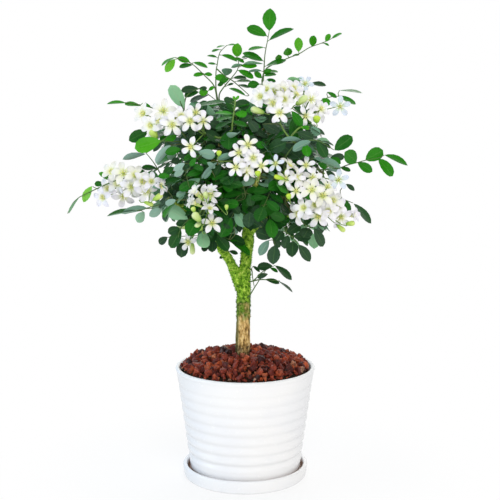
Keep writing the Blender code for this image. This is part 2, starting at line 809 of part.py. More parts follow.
def shown_leaf(base, tip, leaflets, length, half_width, droop, face):
    """Leaf that reaches from its base to the tip of its last leaflet."""
    chord = tip - base
    face = Vector(face)
    face = (face - chord * (face.dot(chord) / chord.length_squared)).normalized()
    ahead = chord.normalized() * math.cos(droop / 2) + face * math.sin(droop / 2)
    rachis = max(chord.length - length, 0.35 * chord.length)
    return Leaf(base, ahead, face, rachis, leaflets, length, half_width, droop, 0.15)


def place_shown_shoots(paths, placed):
    """One shoot for each leaf that shows in the photograph."""
    shoots = []
    for number, (root, end, leaflets, length, half_width, droop, face) in enumerate(SHOWN_LEAVES, start=1):
        name = f"leafy_shoot_{number:02d}"
        for slide in LEAF_SLIDES:
            base = from_photo(root[0], root[1], root[2] + slide)
            tip = from_photo(end[0], end[1], end[2] + slide)
            leaf = shown_leaf(base, tip, leaflets, length, half_width, math.radians(droop), face)
            if placed.hits(leaf_blade(leaf, CLEARANCE)):
                continue
            twig = twig_to(paths, placed, base, leaf.ahead, SHORTEST_STALK)
            if not twig:
                continue
            leaf.stalk = twig[0][:2]
            blade = leaf_blade(leaf)
            if not placed.hits(blade) and not crosses_itself(blade):
                placed.add(blade, name)
                shoots.append({"name": name, "twig": None, "leaves": [leaf]})
                break
        else:
            print(name, "found no clear place")
    return shoots


def open_view(point, clusters):
    """True where a leaf would not hide a flower from outside the crown."""
    for cluster in clusters:
        for centre, facing, spin in cluster["stars"]:
            offset = point - centre
            along = offset.dot(facing)
            if -4 < along < VIEW_DEPTH and (offset - facing * along).length < VIEW_RADIUS:
                return False
    return True


def filler_leaf(draw, base, aim, swing, upright, size):
    """Leaf of a filler shoot, leaning off the twig's aim with its face turned up and outwards."""
    lean = draw.uniform(0.15, 0.5) if upright else draw.uniform(0.75, 1.35)
    side = aim.orthogonal().normalized()
    spoke = side * math.cos(swing) + aim.cross(side) * math.sin(swing)
    ahead = (aim * math.cos(lean) + spoke * math.sin(lean)).normalized()
    loose = Vector((draw.uniform(-0.3, 0.3), draw.uniform(-0.3, 0.3), 0.75))
    face = loose + (base - CROWN_CENTRE).normalized() * 0.65
    rachis, length, half_width = size * FILLER_RACHIS, size * FILLER_LEAFLET, size * FILLER_HALF_WIDTH
    droop, roll = draw.uniform(0.2, 0.6), draw.uniform(-0.2, 0.3)
    return Leaf(base, ahead, face, rachis, FILLER_LEAFLETS, length, half_width, droop, roll)


def place_filler_shoots(paths, placed, clusters, first_number):
    """Shoots spread evenly over the crown, each with several leaves round the end of its twig."""
    shoots = []
    draw = random.Random(5)
    for k in range(FILLER_SHOOTS):
        rise = 1 - 2 * (k + 0.5) / FILLER_SHOOTS
        ring = math.sqrt(1 - rise * rise)
        outward = Vector((ring * math.cos(GOLDEN_ANGLE * k), ring * math.sin(GOLDEN_ANGLE * k), rise))
        name = f"leafy_shoot_{first_number + k:02d}"
        for reach in FILLER_REACHES:
            anchor = CROWN_CENTRE + outward * CROWN_HALF * reach
            twig = twig_to(paths, placed, anchor, outward, SHORTEST_TWIG)
            if twig:
                break
        else:
            print(name, "found no way for its twig")
            continue
        placed.add(tube(*twig, TWIG_SIDES), name + "_twig")
        last_stretch = twig[0][-1] - twig[0][-2]
        aim, leaves = last_stretch.normalized(), []
        turn = draw.uniform(0, 2 * math.pi)
        for j in range(FILLER_LEAVES):
            base = twig[0][-1] - aim * TWIG_PAST_LEAF - last_stretch * (0.33 * j)
            for attempt in range(FILLER_ATTEMPTS):
                swing = turn + GOLDEN_ANGLE * j + draw.uniform(-0.7, 0.7) * (1 + attempt / 8)
                size = draw.uniform(0.88, 1.1) * (1 - 0.01 * attempt)
                leaf = filler_leaf(draw, base, aim, swing, j == 0, size)
                middle, end = leaf.station(0.6)[0], leaf.station(1.0)[0]
                if crown_share(end) > 1.0 or not open_view(end, clusters) or not open_view(middle, clusters):
                    continue
                if not placed.hits(leaf_blade(leaf, CLEARANCE), (name + "_twig",)):
                    leaves.append(leaf)
                    placed.add(leaf_blade(leaf), name)
                    break
        if leaves:
            shoots.append({"name": name, "twig": twig, "leaves": leaves})
    return shoots


# Pieces


def build_saucer(glaze):
    """Shallow dish with a rolled lip."""
    r, h, floor = SAUCER_RADIUS, SAUCER_HEIGHT, SAUCER_FLOOR_Z
    profile = (
        (0, 0),
        (r - 4.0, 0),
        (r - 1.8, 2.2),
        (r - 0.2, h - 2.6),
        (r - 0.7, h),
        (r - 2.1, h),
        (r - 2.8, h - 2.2),
        (r - 6.6, floor),
        (0, floor),
    )
    return turned("saucer", profile, glaze)


def pot_outer_radius(z):
    foot = SAUCER_FLOOR_Z + GAP
    return POT_FOOT_RADIUS + (POT_RIM_RADIUS - 0.6 - POT_FOOT_RADIUS) * (z - foot) / (POT_RIM_Z - foot)


def pot_inner_radius(z):
    return pot_outer_radius(z) - POT_WALL


def build_pot(glaze):
    """Tapered wall whose outside swells between low throwing grooves, which deepen towards the foot."""
    foot = SAUCER_FLOOR_Z + GAP
    outer = [(pot_outer_radius(foot) - 2.6, foot), (pot_outer_radius(foot) - 0.2, foot + 2.4)]
    for k in reversed(range(GROOVE_COUNT)):
        groove = TOP_GROOVE_Z - GROOVE_PITCH * k
        depth = TOP_GROOVE_DEPTH + (FOOT_GROOVE_DEPTH - TOP_GROOVE_DEPTH) * k / (GROOVE_COUNT - 1)
        crest = groove + 0.5 * GROOVE_PITCH
        outer.append((pot_outer_radius(groove) - depth, groove))
        outer.append((pot_outer_radius(crest), crest))
    outer += [
        (POT_RIM_RADIUS - 0.1, POT_RIM_Z - 3.0),
        (POT_RIM_RADIUS, POT_RIM_Z - 1.0),
        (POT_RIM_RADIUS - 1.0, POT_RIM_Z),
        (POT_RIM_RADIUS - 3.4, POT_RIM_Z),
        (pot_inner_radius(POT_RIM_Z - 1.4), POT_RIM_Z - 1.4),
    ]
    floor = foot + POT_FLOOR
    inner = [(pot_inner_radius(floor), floor), (DRAIN_HOLE_RADIUS, floor), (DRAIN_HOLE_RADIUS, foot)]
    return turned("pot", outer + inner, glaze)


def ring_of(radius, z, segments, centre_x=0.0):
    """Evenly spaced points of a level circle."""
    angles = [2 * math.pi * k / segments for k in range(segments)]
    return [Vector((centre_x + radius * math.cos(angle), radius * math.sin(angle), z)) for angle in angles]


def build_soil(material):
    """Potting mix that fills the pot, with a blind hole where the trunk's foot stands."""
    floor = SAUCER_FLOOR_Z + GAP + POT_FLOOR + GAP
    low = ring_of(pot_inner_radius(floor) - GAP, floor, TURNED_SEGMENTS)
    high = ring_of(pot_inner_radius(SOIL_TOP_Z) - GAP, SOIL_TOP_Z, TURNED_SEGMENTS)
    vertices = low + high
    n = TURNED_SEGMENTS
    faces = [(k, (k + 1) % n, n + (k + 1) % n, n + k) for k in range(n)]
    faces += [tuple(reversed(range(n))), tuple(range(n, 2 * n))]
    soil = solid("potting_soil", (vertices, faces), material)
    foot = Vector((TRUNK_X, 0, TRUNK_FOOT_Z - GAP))
    bore = solid("trunk_bore", tube([foot, foot + UP * 40], [TRUNK_HOLE_RADIUS] * 2, HOLE_SEGMENTS))
    cut = soil.modifiers.new("trunk_hole", "BOOLEAN")
    cut.operation = "DIFFERENCE"
    cut.solver = "EXACT"
    cut.object = bore
    bore.hide_render = True
    bore.display_type = "WIRE"
    return soil


def gravel_height(radius):
    """Height of the heaped gravel's mean surface at a distance from the pot's axis."""
    share = min(radius / pot_inner_radius(GRAVEL_EDGE_Z), 1.0)
    return GRAVEL_EDGE_Z + GRAVEL_MOUND * (1 - share**2.2)


def build_gravel(material):
    """Layer of lava stones: each a raised, tilted top of four or five corners with low valleys between."""
    draw = random.Random(3)
    edge = pot_inner_radius(GRAVEL_EDGE_Z) - GAP - 0.1
    centres = []
    for attempt in range(GRAVEL_TRIES):
        angle, radius = draw.uniform(0, 2 * math.pi), (edge - STONE_OFF_WALL) * math.sqrt(draw.random())
        spot = Vector((radius * math.cos(angle), radius * math.sin(angle)))
        off_trunk = (spot - Vector((TRUNK_X, 0))).length
        apart = all((spot - other).length > STONE_SPACING for other in centres)
        if apart and off_trunk > TRUNK_HOLE_RADIUS + STONE_OFF_TRUNK:
            centres.append(spot)
    flat, heights = [], []
    outer = ring_of(edge, GRAVEL_EDGE_Z, TURNED_SEGMENTS)
    inner = ring_of(TRUNK_HOLE_RADIUS, 0, HOLE_SEGMENTS, TRUNK_X)
    for point in outer:
        flat.append(point.to_2d())
        heights.append(GRAVEL_EDGE_Z)
    for point in inner:
        flat.append(point.to_2d())
        heights.append(gravel_height(point.to_2d().length) - 1.0)
    boundary = len(flat)
    for spot in centres:
        corners = draw.choice((4, 5))
        lift, spin = draw.uniform(0.6, 3.4), draw.uniform(0, 2 * math.pi)
        lean, lean_to = draw.uniform(0, 1.3), draw.uniform(0, 2 * math.pi)
        for k in range(corners):
            angle = spin + 2 * math.pi * k / corners
            radius = STONE_TOP_RADIUS * draw.uniform(0.82, 1.12)
            point = spot + Vector((math.cos(angle), math.sin(angle))) * radius
            flat.append(point)
            heights.append(gravel_height(spot.length) + lift + lean * math.cos(angle - lean_to))
    middles = delaunay_2d_cdt([*centres, *flat[:boundary:2]], [], [], 0, 1e-5)
    for triangle in middles[2]:
        valley = sum((middles[0][i] for i in triangle), Vector((0, 0))) / len(triangle)
        off_trunk = (valley - Vector((TRUNK_X, 0))).length
        clear = min((valley - point).length for point in flat)
        if clear > 1.2 and valley.length < edge - 2 and off_trunk > TRUNK_HOLE_RADIUS + 1:
            flat.append(valley)
            heights.append(gravel_height(valley.length) - GRAVEL_VALLEY)
    n, m = TURNED_SEGMENTS, HOLE_SEGMENTS
    rings = [(k, (k + 1) % n) for k in range(n)] + [(n + k, n + (k + 1) % m) for k in range(m)]
    placed, _, triangles, origin, _, _ = delaunay_2d_cdt(flat, rings, [], 0, 1e-5)
    source = [ids[0] for ids in origin]
    vertices = [Vector((*flat[i], heights[i])) for i in source]
    number = {i: k for k, i in enumerate(source)}
    hole = Vector((TRUNK_X, 0))
    faces = []
    for triangle in triangles:
        middle = sum((placed[i] for i in triangle), Vector((0, 0))) / 3
        if (middle - hole).length > TRUNK_HOLE_RADIUS * math.cos(math.pi / m):
            faces.append(tuple(triangle))
    floor_z = SOIL_TOP_Z + GAP
    base = len(vertices)
    vertices += ring_of(pot_inner_radius(floor_z) - GAP - 0.1, floor_z, n)
    vertices += ring_of(TRUNK_HOLE_RADIUS, floor_z, m, TRUNK_X)
    for k in range(n):
        a, b = number[k], number[(k + 1) % n]
        faces.append((b, a, base + k, base + (k + 1) % n))
    for k in range(m):
        a, b = number[n + k], number[n + (k + 1) % m]
        faces.append((a, b, base + n + (k + 1) % m, base + n + k))
    low = [v.to_2d() for v in vertices[base:]]
    low_rings = [(k, (k + 1) % n) for k in range(n)] + [(n + k, n + (k + 1) % m) for k in range(m)]
    _, _, floor_triangles, floor_origin, _, _ = delaunay_2d_cdt(low, low_rings, [], 0, 1e-5)
    floor_source = [ids[0] for ids in floor_origin]
    for triangle in floor_triangles:
        middle = sum((low[floor_source[i]] for i in triangle), Vector((0, 0))) / 3
        if (middle - hole).length > TRUNK_HOLE_RADIUS * math.cos(math.pi / m):
            faces.append(tuple(base + floor_source[i] for i in reversed(triangle)))
    return solid("lava_gravel", (vertices, faces), material)


def wood_shapes(paths):
    """Closed bars of the trunk and of every limb."""
    sides = [TRUNK_SIDES] + [LIMB_SIDES] * (len(paths) - 1)
    return [tube([p for p, r in path], [r for p, r in path], count) for path, count in zip(paths, sides)]


def build_shoot(shoot, green):
    """Leaves round one twig, or a single leaf that carries itself."""
    blades = [leaf_blade(leaf) for leaf in shoot["leaves"]]
    if not shoot["twig"]:
        return solid(shoot["name"], blades[0], green)
    return fused(shoot["name"], [tube(*shoot["twig"], TWIG_SIDES), *blades], green)


def build_cluster(cluster, white):
    """Stalk, the knot at its end, and the stars and buds that fan out from it."""
    hub = cluster["hub"]
    shapes = [tube(*cluster["stalk"], TWIG_SIDES), knot(hub, HUB_RADIUS)]
    shapes += [star_flower(centre, facing, spin, hub) for centre, facing, spin in cluster["stars"]]
    shapes += [flower_bud(tip, facing, hub) for tip, facing in cluster["buds"]]
    return fused("flower_cluster_" + cluster["name"], shapes, white)


def main():
    for old in list(bpy.data.objects):
        bpy.data.objects.remove(old)
    glaze = material_of("white_glaze", GLAZE_WHITE, 0.25)
    build_saucer(glaze)
    build_pot(glaze)
    build_soil(material_of("potting_soil", SOIL_BROWN, 0.95))
    build_gravel(material_of("red_lava", LAVA_RED, 0.9))
    paths = limb_paths()
    fused("trunk", wood_shapes(paths), material_of("mossy_bark", BARK_GREEN, 0.85))
    placed = Placed()
    for shape in wood_shapes(paths):
        placed.add(shape, "wood")
    clusters = place_clusters(paths, placed)
    shoots = place_shown_shoots(paths, placed)
    shoots += place_filler_shoots(paths, placed, clusters, len(SHOWN_LEAVES) + 1)
    white = material_of("petal_white", PETAL_WHITE, 0.5)
    green = material_of("leaf_green", LEAF_GREEN, 0.4)
    for cluster in clusters:
        if cluster["stalk"] and cluster["stars"]:
            build_cluster(cluster, white)
    for shoot in shoots:
        build_shoot(shoot, green)
    leaves = [leaf for shoot in shoots for leaf in shoot["leaves"]]
    print(sum(len(c["stars"]) for c in clusters), "stars", sum(len(c["buds"]) for c in clusters), "buds")
    print(len(shoots), "shoots", sum(leaf.leaflets for leaf in leaves), "leaflets")


main()
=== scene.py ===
# %% [markdown]
# # Orange jasmine bonsai in a ribbed white pot
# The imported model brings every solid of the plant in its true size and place: saucer, pot, soil,
# gravel, trunk, leafy shoots and flower clusters. Those solids are faceted and plain. This lesson
# keeps their places and makes what the eye sees over them: turned glaze, loose lava stones, mossy
# bark, glossy leaflets and recurved petals.
#
# Lengths are millimetres here, and become metres where a mesh is made.

import json
import math
import random

import bmesh
import bpy
from mathutils import Matrix, Vector, noise
from mathutils.kdtree import KDTree

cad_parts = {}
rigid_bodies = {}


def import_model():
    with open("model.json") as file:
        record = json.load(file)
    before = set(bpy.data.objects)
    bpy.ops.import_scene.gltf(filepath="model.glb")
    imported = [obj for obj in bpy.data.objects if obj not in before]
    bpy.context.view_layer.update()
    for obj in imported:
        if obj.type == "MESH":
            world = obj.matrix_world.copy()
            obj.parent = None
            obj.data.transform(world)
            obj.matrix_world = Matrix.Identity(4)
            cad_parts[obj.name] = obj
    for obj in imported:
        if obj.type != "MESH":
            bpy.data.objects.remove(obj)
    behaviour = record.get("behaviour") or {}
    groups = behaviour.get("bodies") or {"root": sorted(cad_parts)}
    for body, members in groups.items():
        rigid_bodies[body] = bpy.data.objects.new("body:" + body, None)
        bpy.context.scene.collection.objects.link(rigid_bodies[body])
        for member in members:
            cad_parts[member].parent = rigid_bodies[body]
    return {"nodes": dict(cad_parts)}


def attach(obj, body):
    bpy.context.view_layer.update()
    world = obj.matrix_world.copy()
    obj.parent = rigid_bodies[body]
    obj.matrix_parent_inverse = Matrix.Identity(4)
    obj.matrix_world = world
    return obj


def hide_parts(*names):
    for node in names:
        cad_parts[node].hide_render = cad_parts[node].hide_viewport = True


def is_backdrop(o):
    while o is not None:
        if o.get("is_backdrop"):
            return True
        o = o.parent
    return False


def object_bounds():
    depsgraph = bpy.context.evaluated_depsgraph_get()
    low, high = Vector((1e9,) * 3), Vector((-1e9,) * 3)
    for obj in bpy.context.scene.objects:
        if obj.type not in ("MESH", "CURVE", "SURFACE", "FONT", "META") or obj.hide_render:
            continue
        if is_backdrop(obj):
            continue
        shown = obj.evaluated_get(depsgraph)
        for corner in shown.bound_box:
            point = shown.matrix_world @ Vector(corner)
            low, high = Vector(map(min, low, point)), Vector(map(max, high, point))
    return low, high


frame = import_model()
cad_low, cad_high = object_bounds()
MM = 0.001
UP = Vector((0, 0, 1))
scene = bpy.context.scene
print(len(frame["nodes"]), "solids in a box of", [round(v, 3) for v in cad_high - cad_low], "m")

# %% [markdown]
# ## The viewpoint
# The photograph looks slightly down on the plant from a little over a metre away. Pot rim, saucer
# and trunk gave the camera's place, tilt and focal length, so that a pixel of the photograph and a
# depth behind the pot's axis give a place in the model. `from_photo` turns one into the other, and
# `to_photo` goes back.

# %% Camera at the photograph's viewing angle
POT_RIM_Z = 129.4
EYE = Vector((5.5, -1150.0, 424.7))
EYE_TILT = 0.140
FOCAL_PX = 1026.8
CENTRE_PX = 250.0
SENSOR = 36.0

camera = bpy.data.objects.new("camera", bpy.data.cameras.new("camera"))
camera.data.sensor_width = SENSOR
camera.data.lens = FOCAL_PX / (2 * CENTRE_PX) * SENSOR
camera.data.clip_start, camera.data.clip_end = 0.05, 60.0
camera.location = EYE * MM
camera.rotation_euler = (math.pi / 2 - EYE_TILT, 0, 0)
scene.collection.objects.link(camera)
scene.camera = camera


def from_photo(px, py, depth):
    """Place in millimetres seen at a pixel of the photograph, depth mm behind the pot's axis."""
    right = (px - CENTRE_PX) / FOCAL_PX
    rise = (CENTRE_PX - py) / FOCAL_PX
    sine, cosine = math.sin(EYE_TILT), math.cos(EYE_TILT)
    ray = Vector((right, rise * sine + cosine, rise * cosine - sine))
    return EYE + ray * ((depth - EYE.y) / ray.y)


def to_photo(place):
    """Pixel of the photograph at which a place is seen."""
    offset = place - EYE
    sine, cosine = math.sin(EYE_TILT), math.cos(EYE_TILT)
    ahead = offset.y * cosine - offset.z * sine
    rise = offset.y * sine + offset.z * cosine
    return CENTRE_PX + FOCAL_PX * offset.x / ahead, CENTRE_PX - FOCAL_PX * rise / ahead


print("lens", round(camera.data.lens, 2), "mm; rim's middle seen at", to_photo(POT_RIM_Z * UP))

# %% [markdown]
# ## Nodes in few words
# Materials and geometry trees are both made of nodes. `put` makes one node, sets its settings and
# its inputs, and links an input where it is given another node's output. What it gives back is a
# `Value`, and arithmetic with values makes the math nodes. The small helpers after it name the few
# combinations that every finish here uses.

# %% Helpers for node trees
# How far on its map the underside of a blade lies from its upper face
UNDERSIDE = 2.0


class Value:
    """An output of a node, which can be reckoned with: each step makes a math node."""

    def __init__(self, tree, socket):
        self.tree, self.socket = tree, socket

    def math(self, operation, other=0.0, clamp=False):
        """Math node with this value and another one."""
        return put(self.tree, "ShaderNodeMath", {0: self, 1: other}, operation=operation, use_clamp=clamp)

    def __add__(self, other):
        return self.math("ADD", other)

    def __sub__(self, other):
        return self.math("SUBTRACT", other)

    def __mul__(self, other):
        return self.math("MULTIPLY", other)

    def __truediv__(self, other):
        return self.math("DIVIDE", other)

    def beside(self, name):
        """Another output of the same node."""
        return Value(self.tree, self.socket.node.outputs[name])

    def into(self, socket):
        """Link the value to an input."""
        self.tree.links.new(self.socket, socket)


def put(tree, kind, inputs={}, out=0, **settings):
    """New node of a tree; gives back one of its outputs."""
    node = tree.nodes.new(kind)
    for name, value in settings.items():
        setattr(node, name, value)
    for key, value in inputs.items():
        if isinstance(value, Value):
            value.into(node.inputs[key])
        else:
            node.inputs[key].default_value = value
    return Value(tree, node.outputs[out])


def axes(value):
    """The three parts of a vector."""
    first = put(value.tree, "ShaderNodeSeparateXYZ", {0: value})
    return first, first.beside("Y"), first.beside("Z")


def ramp(value, low, high, start=0.0, end=1.0):
    """Smooth step of a value from start, at low, to end, at high."""
    inputs = {0: value, 1: low, 2: high, 3: start, 4: end}
    return put(value.tree, "ShaderNodeMapRange", inputs, interpolation_type="SMOOTHSTEP")


def mixed(tree, factor, a, b, blend="MIX"):
    """Colour between two colours."""
    a, b = (c if isinstance(c, Value) else (*c, 1.0) for c in (a, b))
    return put(tree, "ShaderNodeMix", {0: factor, 6: a, 7: b}, out=2, data_type="RGBA", blend_type=blend)


def tones(value, *stops):
    """Colour ramp of (place, colour) stops."""
    colour = put(value.tree, "ShaderNodeValToRGB", {0: value})
    elements = colour.socket.node.color_ramp.elements
    while len(elements) < len(stops):
        elements.new(0.5)
    for element, (place, shade) in zip(elements, stops):
        element.position = place
        element.color = (*shade, 1.0)
    return colour


def grain(where, size, detail=2.0, rough=0.55, stretch=None):
    """Noise between 0 and 1 whose spots are about size millimetres across."""
    if stretch:
        where = put(where.tree, "ShaderNodeMapping", {"Vector": where, "Scale": stretch})
    inputs = {"Vector": where, "Scale": 0.5 / (size * MM), "Detail": detail, "Roughness": rough}
    return put(where.tree, "ShaderNodeTexNoise", inputs)


def facts(tree, name):
    """A number that each point of the mesh carries."""
    return put(tree, "ShaderNodeAttribute", out="Fac", attribute_name=name)


def blade_map(tree):
    """Whether a blade's underside is seen, and the shares of its length and width, from its map."""
    length, width, unused = axes(put(tree, "ShaderNodeUVMap", uv_map="blade"))
    under = length.math("GREATER_THAN", UNDERSIDE - 0.5)
    return under, length - under * UNDERSIDE, width


def uneven(value, much=1.0):
    """A value between 0 and 1 made one that swings round 0 by so much."""
    return (value - 0.5) * much


def new_finish(name, **fixed):
    """Principled material, its tree, its shader and its object coordinates."""
    material = bpy.data.materials.new(name)
    material.use_nodes = True
    tree = material.node_tree
    shader = tree.nodes["Principled BSDF"]
    for socket, value in fixed.items():
        shader.inputs[socket.replace("_", " ")].default_value = value
    return material, tree, shader, put(tree, "ShaderNodeTexCoord", out="Object")


def dress(shader, colour, roughness, height=None, depth=0.0, strength=1.0):
    """Link colour, roughness and a bump of depth millimetres to the shader."""
    colour.into(shader.inputs["Base Color"])
    roughness.into(shader.inputs["Roughness"])
    if height:
        inputs = {"Height": height, "Distance": depth * MM, "Strength": strength}
        put(colour.tree, "ShaderNodeBump", inputs).into(shader.inputs["Normal"])


# %% [markdown]
# ## Studio
# The photograph stands on pure white, with soft light from all sides, a little cooler from the left
# and warmer from the right. The floor is a wide disc that turns into plain white with distance, so
# that no horizon shows. Five large area lights surround the plant. The two before it only fill, and
# give no highlights: the leaves that face them would otherwise look hazy.

# %% Floor, sky and lights
scene.view_settings.view_transform = "Standard"
FLOOR_RADIUS = 9000.0
FLOOR_FADE = (50.0, 300.0)
FLOOR_GLOW = 0.72
FLOOR_LIGHT = 0.86
SKY_GLOW = (0.30, 1.12)
LIT_POINT = Vector((0, 0, 280))
# Name, place and width in mm, watts, colour, and whether it shows in glossy faces
LIGHTS = (
    ("key", (250, -1550, 1350), 1100, 16.5, (1.0, 0.985, 0.965), False),
    ("front", (60, -1650, 330), 1200, 7.0, (1.0, 0.985, 0.965), False),
    ("left_sky", (-1500, -350, 650), 1000, 7.0, (0.68, 0.83, 1.0), True),
    ("fill", (1400, -500, 700), 1000, 1.8, (1.0, 0.985, 0.97), True),
    ("back", (200, 1300, 1400), 1000, 5.0, (1.0, 1.0, 1.0), True),
)


def shape_of(build, name, sharp=None):
    """Object of a finished bmesh; with an angle it looks smooth, but for edges sharper than that."""
    shape = bpy.data.objects.new(name, bpy.data.meshes.new(name))
    build.to_mesh(shape.data)
    build.free()
    if sharp:
        shape.data.shade_smooth()
        shape.data.set_sharp_from_angle(angle=math.radians(sharp))
    return shape


bed = bmesh.new()
bmesh.ops.create_circle(bed, cap_ends=True, segments=96, radius=FLOOR_RADIUS * MM)
floor = shape_of(bed, "floor")
scene.collection.objects.link(floor)
floor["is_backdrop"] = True

pale, tree, shader, where = new_finish("pale_floor")
soft = grain(where, 30.0)
dress(shader, mixed(tree, soft, (0.93, 0.93, 0.93), (0.96, 0.96, 0.96)), ramp(soft, 0, 1, 0.6, 0.7))
seen = put(tree, "ShaderNodeLightPath", out="Is Camera Ray")
glow = {"Color": (1, 1, 1, 1), "Strength": ramp(seen, 0, 1, FLOOR_LIGHT, 1.0)}
distance = put(tree, "ShaderNodeVectorMath", {0: where}, out="Value", operation="LENGTH")
fade = ramp(distance, FLOOR_FADE[0] * MM, FLOOR_FADE[1] * MM, FLOOR_GLOW, 1.0)
matt, white = Value(tree, shader.outputs[0]), put(tree, "ShaderNodeEmission", glow)
both = put(tree, "ShaderNodeMixShader", {0: fade, 1: matt, 2: white})
both.into(tree.nodes["Material Output"].inputs["Surface"])
floor.data.materials.append(pale)

scene.world = bpy.data.worlds.new("sky")
scene.world.use_nodes = True
tree = scene.world.node_tree
sky = tree.nodes["Background"].inputs
seen = put(tree, "ShaderNodeLightPath", out="Is Camera Ray")
right, back, upward = axes(put(tree, "ShaderNodeTexCoord", out="Generated"))
ramp(seen, 0, 1, ramp(back, -0.5, 0.9, *SKY_GLOW), 1.0).into(sky["Strength"])
hue = tones(
    ramp(right, -1.0, 1.0),
    (0.0, (0.66, 0.82, 1.0)),
    (0.55, (1.0, 0.99, 0.975)),
    (0.8, (0.86, 0.86, 0.87)),
    (1.0, (0.74, 0.75, 0.77)),
)
mixed(tree, seen, hue, (1.0, 1.0, 1.0)).into(sky["Color"])

for name, place, width, watts, colour, glossy in LIGHTS:
    lamp = bpy.data.objects.new(name, bpy.data.lights.new(name, "AREA"))
    lamp.data.size = width * MM
    lamp.data.energy = watts
    lamp.data.color = colour
    lamp.location = Vector(place) * MM
    lamp.rotation_euler = (LIT_POINT - Vector(place)).to_track_quat("-Z", "Y").to_euler()
    lamp.visible_glossy = glossy
    scene.collection.objects.link(lamp)
print(len(LIGHTS), "lights")

# %% [markdown]
# ## Geometry trees and plain results
# A geometry tree grows the shapes that repeat: leaflets along a leaf, flowers over a cluster, stones
# over a mound. Each tree is made once, with its sizes as named inputs. `grown` runs a tree on an
# object and keeps only the plain mesh that comes out of it.


# %% Helpers for geometry trees
def new_tree(name, **inputs):
    """Geometry tree with named inputs; gives back the tree and its inputs by name."""
    tree = bpy.data.node_groups.new(name, "GeometryNodeTree")
    for label, kind in {"Geometry": "Geometry", **inputs, "Finish": "Material"}.items():
        tree.interface.new_socket(label, in_out="INPUT", socket_type="NodeSocket" + kind)
    tree.interface.new_socket("Geometry", in_out="OUTPUT", socket_type="NodeSocketGeometry")
    start = tree.nodes.new("NodeGroupInput")
    return tree, {socket.name: Value(tree, socket) for socket in start.outputs}


def end_tree(geometry, finish):
    """Close a tree: nothing stays an instance, and every face has the finish."""
    tree = geometry.tree
    real = put(tree, "GeometryNodeRealizeInstances", {0: geometry})
    dressed = put(tree, "GeometryNodeSetMaterial", {0: real, "Material": finish})
    dressed.into(tree.nodes.new("NodeGroupOutput").inputs[0])


def carried(tree, name, kind="FLOAT"):
    """Value that the points carry, by name."""
    return put(tree, "GeometryNodeInputNamedAttribute", {"Name": name}, data_type=kind)


def drawn(seed, low, high, kind="FLOAT"):
    """Random value between two bounds, another one at each point."""
    place = ("FLOAT_VECTOR", "FLOAT", "INT").index(kind)
    inputs = {2 * place: low, 2 * place + 1: high, "Seed": seed}
    return put(seed.tree, "FunctionNodeRandomValue", inputs, out=place, data_type=kind)


def scaled(vector, by):
    """Vector made so many times as long."""
    return put(vector.tree, "ShaderNodeVectorMath", {0: vector, "Scale": by}, operation="SCALE")


def rotation(euler):
    """Rotation of three angles."""
    return put(euler.tree, "FunctionNodeEulerToRotation", {0: euler})


def set_on(points, shape, turn, size, which=None):
    """A shape on every point, or that one of a collection's shapes which is named by its number."""
    inputs = {"Points": points, "Instance": shape, "Rotation": turn, "Scale": size}
    if which:
        inputs["Instance"] = put(points.tree, "GeometryNodeCollectionInfo", {0: shape, 1: True, 2: True})
        inputs |= {"Pick Instance": True, "Instance Index": which}
    return put(points.tree, "GeometryNodeInstanceOnPoints", inputs)


def swept(lines, sides):
    """Ring of so many sides swept along lines, as thick as their points say."""
    tree = lines.tree
    curve = put(tree, "GeometryNodeMeshToCurve", {0: lines})
    ring = put(tree, "GeometryNodeCurvePrimitiveCircle", {"Resolution": sides, "Radius": 1.0})
    inputs = {0: curve, 1: ring, "Scale": carried(tree, "thick"), "Fill Caps": True}
    return put(tree, "GeometryNodeCurveToMesh", inputs)


def grown(piece, tree, **values):
    """Run a tree on a piece and leave its result as the piece's plain mesh."""
    modifier = piece.modifiers.new("grow", "NODES")
    modifier.node_group = tree
    for socket in tree.interface.items_tree:
        if socket.in_out == "INPUT" and socket.name in values:
            modifier[socket.identifier] = values[socket.name]
    bpy.context.view_layer.update()
    graph = bpy.context.evaluated_depsgraph_get()
    shaped = piece.evaluated_get(graph)
    mesh = bpy.data.meshes.new_from_object(shaped, preserve_all_data_layers=True, depsgraph=graph)
    piece.modifiers.remove(modifier)
    old, piece.data = piece.data, mesh
    bpy.data.meshes.remove(old)
    mesh.name = piece.name
    return piece


def new_piece(name, vertices, edges=()):
    """Object of points and lines given in millimetres."""
    mesh = bpy.data.meshes.new(name)
    mesh.from_pydata([Vector(v) * MM for v in vertices], edges, [])
    piece = bpy.data.objects.new(name, mesh)
    scene.collection.objects.link(piece)
    return piece


def carry(piece, name, values, kind="FLOAT"):
    """Give every point of a piece a value under a name."""
    layer = piece.data.attributes.new(name, kind, "POINT")
    if kind == "FLOAT_VECTOR":
        layer.data.foreach_set("vector", [part for value in values for part in value])
    else:
        layer.data.foreach_set("value", values)


def gathered(name, shapes):
    """Collection of the shapes that a tree picks from."""
    group = bpy.data.collections.new(name)
    for shape in shapes:
        group.objects.link(shape)
    return group


def settle(piece, slot, *nodes):
    """Every piece rides on the one body and stands for its nodes, which it hides; the slot is not used."""
    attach(piece, "root")
    if nodes:
        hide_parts(*nodes)
    triangles = sum(len(face.vertices) - 2 for face in piece.data.polygons)
    print(piece.name, triangles, "triangles")


# %% [markdown]
# ## Saucer and pot
# Both were thrown on a wheel, so a profile that is spun round the axis makes them. The pot's wall is
# spun plain, and a geometry tree then presses the throwing grooves into its outside: a soft wave,
# shallow under the rim and deeper towards the foot, because the photograph shows it so.

